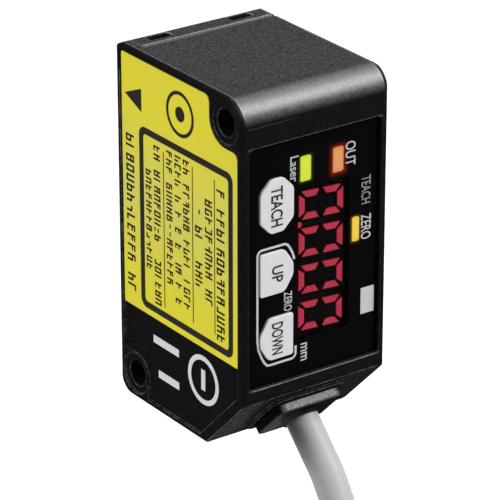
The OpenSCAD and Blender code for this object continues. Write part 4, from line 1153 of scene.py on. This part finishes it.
# Each row: its low and high Y, its start and end Z, and the pitch of its strokes
LABEL_ROWS = [
    (7.45, 8.95, 11.5, -7.5, 1.18), (5.2, 6.55, 8.4, -4.7, 1.1), (3.25, 4.6, 6.75, -3.0, 1.1),
    (0.9, 2.1, 11.7, -6.9, 0.98), (-0.75, 0.45, 11.7, -7.4, 0.98), (-2.45, -1.3, 11.7, -4.6, 0.98),
    (-4.95, -3.7, 11.5, -7.8, 1.0), (-6.6, -5.5, 8.1, -4.25, 0.98), (-10.6, -9.0, 11.2, -8.3, 1.25),
]


def joined_piece(name, meshes, body, slot, finish, *replaced):
    """One piece from several meshes."""
    shape = bmesh.new()
    for mesh in meshes:
        shape.from_mesh(mesh)
    return placed(linked(name, closed_mesh(shape, name)), finish, body, slot, *replaced)


def row_mesh(row, seed):
    low, high, start, end, pitch = row
    return grown(strokes, {
        "Start": mm(0, (low + high) / 2, start) + Vector((LABEL_X + INK_RISE / 2 * MM, 0, 0)),
        "Step": mm(0, 0, -pitch),
        "Count": int((start - end) / pitch) + 1,
        "Height": (high - low) * MM,
        "Stroke": ((high - low) * STROKE_SHARE + STROKE_EXTRA) * MM,
        "Rise": INK_RISE * MM,
        "Seed": seed,
        "Ink": label_ink,
    })


rows = [row_mesh(row, seed) for seed, row in enumerate(LABEL_ROWS, 11)]
joined_piece("label_rows", rows, "case", "label_ink", label_ink)


# %% Flat lines and arcs
def ribbon_mesh(points, width, place, closed=False):
    """A flat line of a width through 2D points in millimetres; place turns (u, v, w) into a point."""
    flat = [Vector(p) for p in points]
    last = len(flat) - 1
    shape = bmesh.new()
    rings = []
    for i, point in enumerate(flat):
        before = flat[i - 1] if closed or i > 0 else point
        after = flat[(i + 1) % len(flat)] if closed or i < last else point
        way = (after - before).normalized()
        across = Vector((-way.y, way.x)) * width / 2
        left, right = point - across, point + across
        corners = [(left, 0), (right, 0), (right, INK_RISE), (left, INK_RISE)]
        rings.append([shape.verts.new(place(p.x, p.y, w)) for p, w in corners])
    pairs = list(zip(rings, rings[1:]))
    if closed:
        pairs.append((rings[-1], rings[0]))
    for first, second in pairs:
        for k in range(4):
            shape.faces.new((first[k], first[(k + 1) % 4], second[(k + 1) % 4], second[k]))
    if not closed:
        shape.faces.new(rings[0])
        shape.faces.new(reversed(rings[-1]))
    bmesh.ops.recalc_face_normals(shape, faces=shape.faces)
    return closed_mesh(shape, "ribbon")


def arc(middle, radius, start, end, steps):
    """Points on an arc, with angles in degrees."""
    turns = [math.radians(start + (end - start) * k / steps) for k in range(steps + 1)]
    return [(middle[0] + radius * math.cos(t), middle[1] + radius * math.sin(t)) for t in turns]


def ring_mesh(middle, radius, width, steps, place):
    """A flat ring round a middle."""
    return ribbon_mesh(arc(middle, radius, 0, 360, steps)[:-1], width, place, closed=True)


# %% Rules and ring on the label
def on_label(y, z, rise):
    return Vector((LABEL_X + rise * MM, y * MM, z * MM))


# Each rule: its Y, and the Z of its ends
RULES = [(7.05, 11.4, -7.5), (2.75, 11.5, -7.7), (-3.0, 11.4, -8.0)]
RULE_WIDTH = 0.12
RING_MIDDLE = (0.4, 17.0)
# The ring and the dot in it: radius, width and steps
RINGS = [(2.5, 0.42, 48), (0.45, 0.9, 24)]
rules = [ribbon_mesh([(y, top), (y, end)], RULE_WIDTH, on_label) for y, top, end in RULES]
rules += [ring_mesh(RING_MIDDLE, *ring, on_label) for ring in RINGS]
joined_piece("label_rules", rules, "case", "label_ink", label_ink)

# %% Plain marks below the label
POCKET_X = 9.7
MARK_RING = ((4.5, -14.3), 2.75, 0.62, 56)
# Each bar: its two ends in Y and Z, and its width
MARK_BARS = [
    ((-5.6, -12.9), (-0.4, -12.9), 0.95), ((-4.6, -17.1), (-0.4, -17.1), 0.95),
    ((4.5, -13.0), (4.5, -15.6), 0.8),
]


def on_pocket(y, z, rise):
    return mm(POCKET_X + rise, y, z)


marks = [ribbon_mesh([start, end], width, on_pocket) for start, end, width in MARK_BARS]
marks.append(ring_mesh(*MARK_RING, on_pocket))
joined_piece("side_marks", marks, "case", "panel_ink", mark_ink)

# %% [markdown]
# ## Print on the panel
# A white line ties the two lower keys together, a plain white field stands at the panel's edge,
# and the lights and keys have their everyday function words. The words are text objects that
# become meshes before they are placed: their reading direction runs down the panel.


# %% Bracket line and white field
PANEL_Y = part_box("operation_panel")[1].y
FIELD = [(-7.75, -7.55), (-7.75, -4.3)]
FIELD_WIDTH = 1.9
BRACKET_WIDTH = 0.27
BRACKET = [(2.6, 1.85), (2.85, 2.65), (3.25, 3.4), (3.55, 3.8), (3.9, 3.98)]
BRACKET += [(7.05, 3.98)] + arc((7.05, 3.36), 0.62, 90, 0, 6) + [(7.67, -7.0)]
BRACKET += [(7.55, -8.0), (7.1, -9.2), (6.62, -10.05)] + [(6.3, -10.36), (5.9, -10.42)]
BRACKET += [(2.95, -10.42)] + arc((2.95, -9.82), 0.6, 270, 180, 6) + [(2.35, -8.95)]


def on_panel(x, z, rise):
    return Vector((x * MM, PANEL_Y + rise * MM, z * MM))


lines = [ribbon_mesh(BRACKET, BRACKET_WIDTH, on_panel), ribbon_mesh(FIELD, FIELD_WIDTH, on_panel)]
joined_piece("panel_lines", lines, "case", "panel_ink", grey_ink, "panel_print")


# %% Function words
def word_mesh(word, x_span, z_span, y, weight):
    """A word as a thin mesh that fills a field, read downwards with its tops to the bare side."""
    text = bpy.data.curves.new("word", "FONT")
    text.body = word
    text.size = 1
    text.offset = weight
    text.extrude = 0.01
    text.resolution_u = 4
    mesh = used_up(linked("word", text))
    axes = list(zip(*[v.co for v in mesh.vertices]))
    low = [min(values) for values in axes]
    size = [max(values) - min(values) for values in axes]
    for vertex in mesh.vertices:
        u, v, w = [(vertex.co[k] - low[k]) / size[k] for k in range(3)]
        x = x_span[0] + (x_span[1] - x_span[0]) * v
        z = z_span[0] + (z_span[1] - z_span[0]) * u
        vertex.co = Vector((x * MM, y + w * INK_RISE * MM, z * MM))
    return mesh


# Each word: the X of its feet and tops, and the Z of its start and end
PANEL_WORDS = [
    ("Laser", (3.25, 2.1), (14.2, 11.2)), ("OUT", (-4.4, -5.8), (14.2, 11.3)),
    ("ZERO", (-6.7, -8.1), (4.8, 1.75)), ("ZERO", (4.0, 2.9), (-1.95, -4.3)),
    ("mm", (1.65, 0.75), (-8.95, -11.1)),
]
UNLIT_WORD = ("TEACH", (-6.7, -8.0), (9.5, 6.1))
PANEL_WEIGHT = 0.004
KEY_WEIGHT = 0.012
KEY_WORDS = {
    "teach_key": ("TEACH", (5.95, 4.35), (11.25, 6.5)),
    "up_key": ("UP", (5.8, 4.3), (1.7, -0.3)),
    "down_key": ("DOWN", (5.8, 4.25), (-5.3, -9.2)),
}
words = [word_mesh(*word, PANEL_Y, PANEL_WEIGHT) for word in PANEL_WORDS]
joined_piece("panel_words", words, "case", "panel_ink", white_ink)
unlit_word = word_mesh(*UNLIT_WORD, PANEL_Y, PANEL_WEIGHT)
joined_piece("unlit_word", [unlit_word], "case", "panel_ink", dim_ink)
for key, word in KEY_WORDS.items():
    mesh = word_mesh(*word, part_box(key)[1].y, KEY_WEIGHT)
    joined_piece(key + "_word", [mesh], KEYS[key], "panel_ink", key_ink)

# %% [markdown]
# ## Leads at the cable's end
# The cable ends as it is delivered: the jacket stops, and five insulated leads stand out with
# bare tinned ends. Each lead fans out from the end of the cable along a route of its own, and it
# stands for its CAD lead. The strands of a bare end are seven thin wires twisted together, so one
# tree sweeps a seven-wire profile along the lead and turns it with a tilt that grows along the way.

# %% Lead routes
LEAD_L = 24.0
LEAD_D = 1.1
LEAD_RING_R = LEAD_D * 0.9
LEAD_SPREAD = 0.22
LEAD_STEPS = 5
# Shares of a lead's length: where its jacket ends, and how far the strands reach back into it
BARE_SHARE = 0.8
HIDDEN_SHARE = 0.02


def lead_route(index, start, end, steps):
    """Points of one lead between two shares of its length."""
    way = (tail[-1] - tail[-2]).normalized()
    u = way.cross(Vector((1, 0.2, 0.1))).normalized()
    v = way.cross(u).normalized()
    angle = 2 * math.pi * index / len(LEAD_COLOURS)
    out = u * math.cos(angle) + v * math.sin(angle)
    points = []
    for k in range(steps + 1):
        share = start + (end - start) * k / steps
        spread = LEAD_SPREAD * max(share * LEAD_STEPS - 1, 0) ** 2
        points.append(tail[-1] + out * (LEAD_RING_R + spread) * MM + way * LEAD_L * share * MM)
    return points


# %% Tree that twists wires along a curve
STRAND_INPUTS = {
    "Geometry": ("Geometry", None), "Wire Radius": ("Float", 0.00011), "Ring Radius": ("Float", 0.00022),
    "Turns": ("Float", 2.0), "Metal": ("Material", None),
}


def strand_tree():
    """Sweeps one wire and six round it along a curve, turning as they go."""
    t = Tree("twisted_strands", STRAND_INPUTS)
    curve, wire_radius, ring_radius, turns, metal = t.inputs[:len(STRAND_INPUTS)]

    def circle(corners, radius):
        return t.add("GeometryNodeCurvePrimitiveCircle", None, {"Resolution": corners, "Radius": radius})

    wire = circle(8, wire_radius)
    around = t.add("GeometryNodeInstanceOnPoints", None,
                   {"Points": circle(6, ring_radius), "Instance": wire})
    profile = t.add("GeometryNodeRealizeInstances", None, {0: t.joined([around, wire])})
    share = t.add("GeometryNodeSplineParameter", output="Factor")
    angle = t.product(t.product(share, turns), 2 * math.pi)
    tilted = t.add("GeometryNodeSetCurveTilt", None, {"Curve": curve, "Tilt": angle})
    swept = t.add("GeometryNodeCurveToMesh", None,
                  {"Curve": tilted, "Profile Curve": profile, "Fill Caps": True})
    return t.ended(swept, metal)


strands = strand_tree()

# %% Leads with bare ends
for index, (lead, finish) in enumerate(lead_finishes.items()):
    insulation = used_up(curve_object("lead_line", lead_route(index, 0, BARE_SHARE, 16), LEAD_D / 2))
    insulation.shade_smooth()
    insulation.set_sharp_from_angle(angle=SMOOTH_WITHIN)
    slot = "lead_" + lead.split("_")[0]
    joined_piece(lead + "_jacket", [insulation], "case", slot, finish, lead)
    bare_line = curve_object("wire_line", lead_route(index, BARE_SHARE - HIDDEN_SHARE, 1, 14))
    bare = grown(strands, {"Metal": tin}, bare_line)
    joined_piece(lead + "_strands", [bare], "case", "screw_steel", tin)

# %% [markdown]
# ## The cable's finish
# The cable takes the jacket's finish and goes with the case, and the CAD cable, coil and tail are
# hidden. The strap and the leads go with it.

cable.data.materials.append(jacket)
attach(cable, "case")
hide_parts("cable", "cable_coil", "cable_tail")

# %% [markdown]
# ## The end
# The scene's colours are shown through the Standard view transform.

# %% Standard view transform
bpy.context.scene.view_settings.view_transform = "Standard"
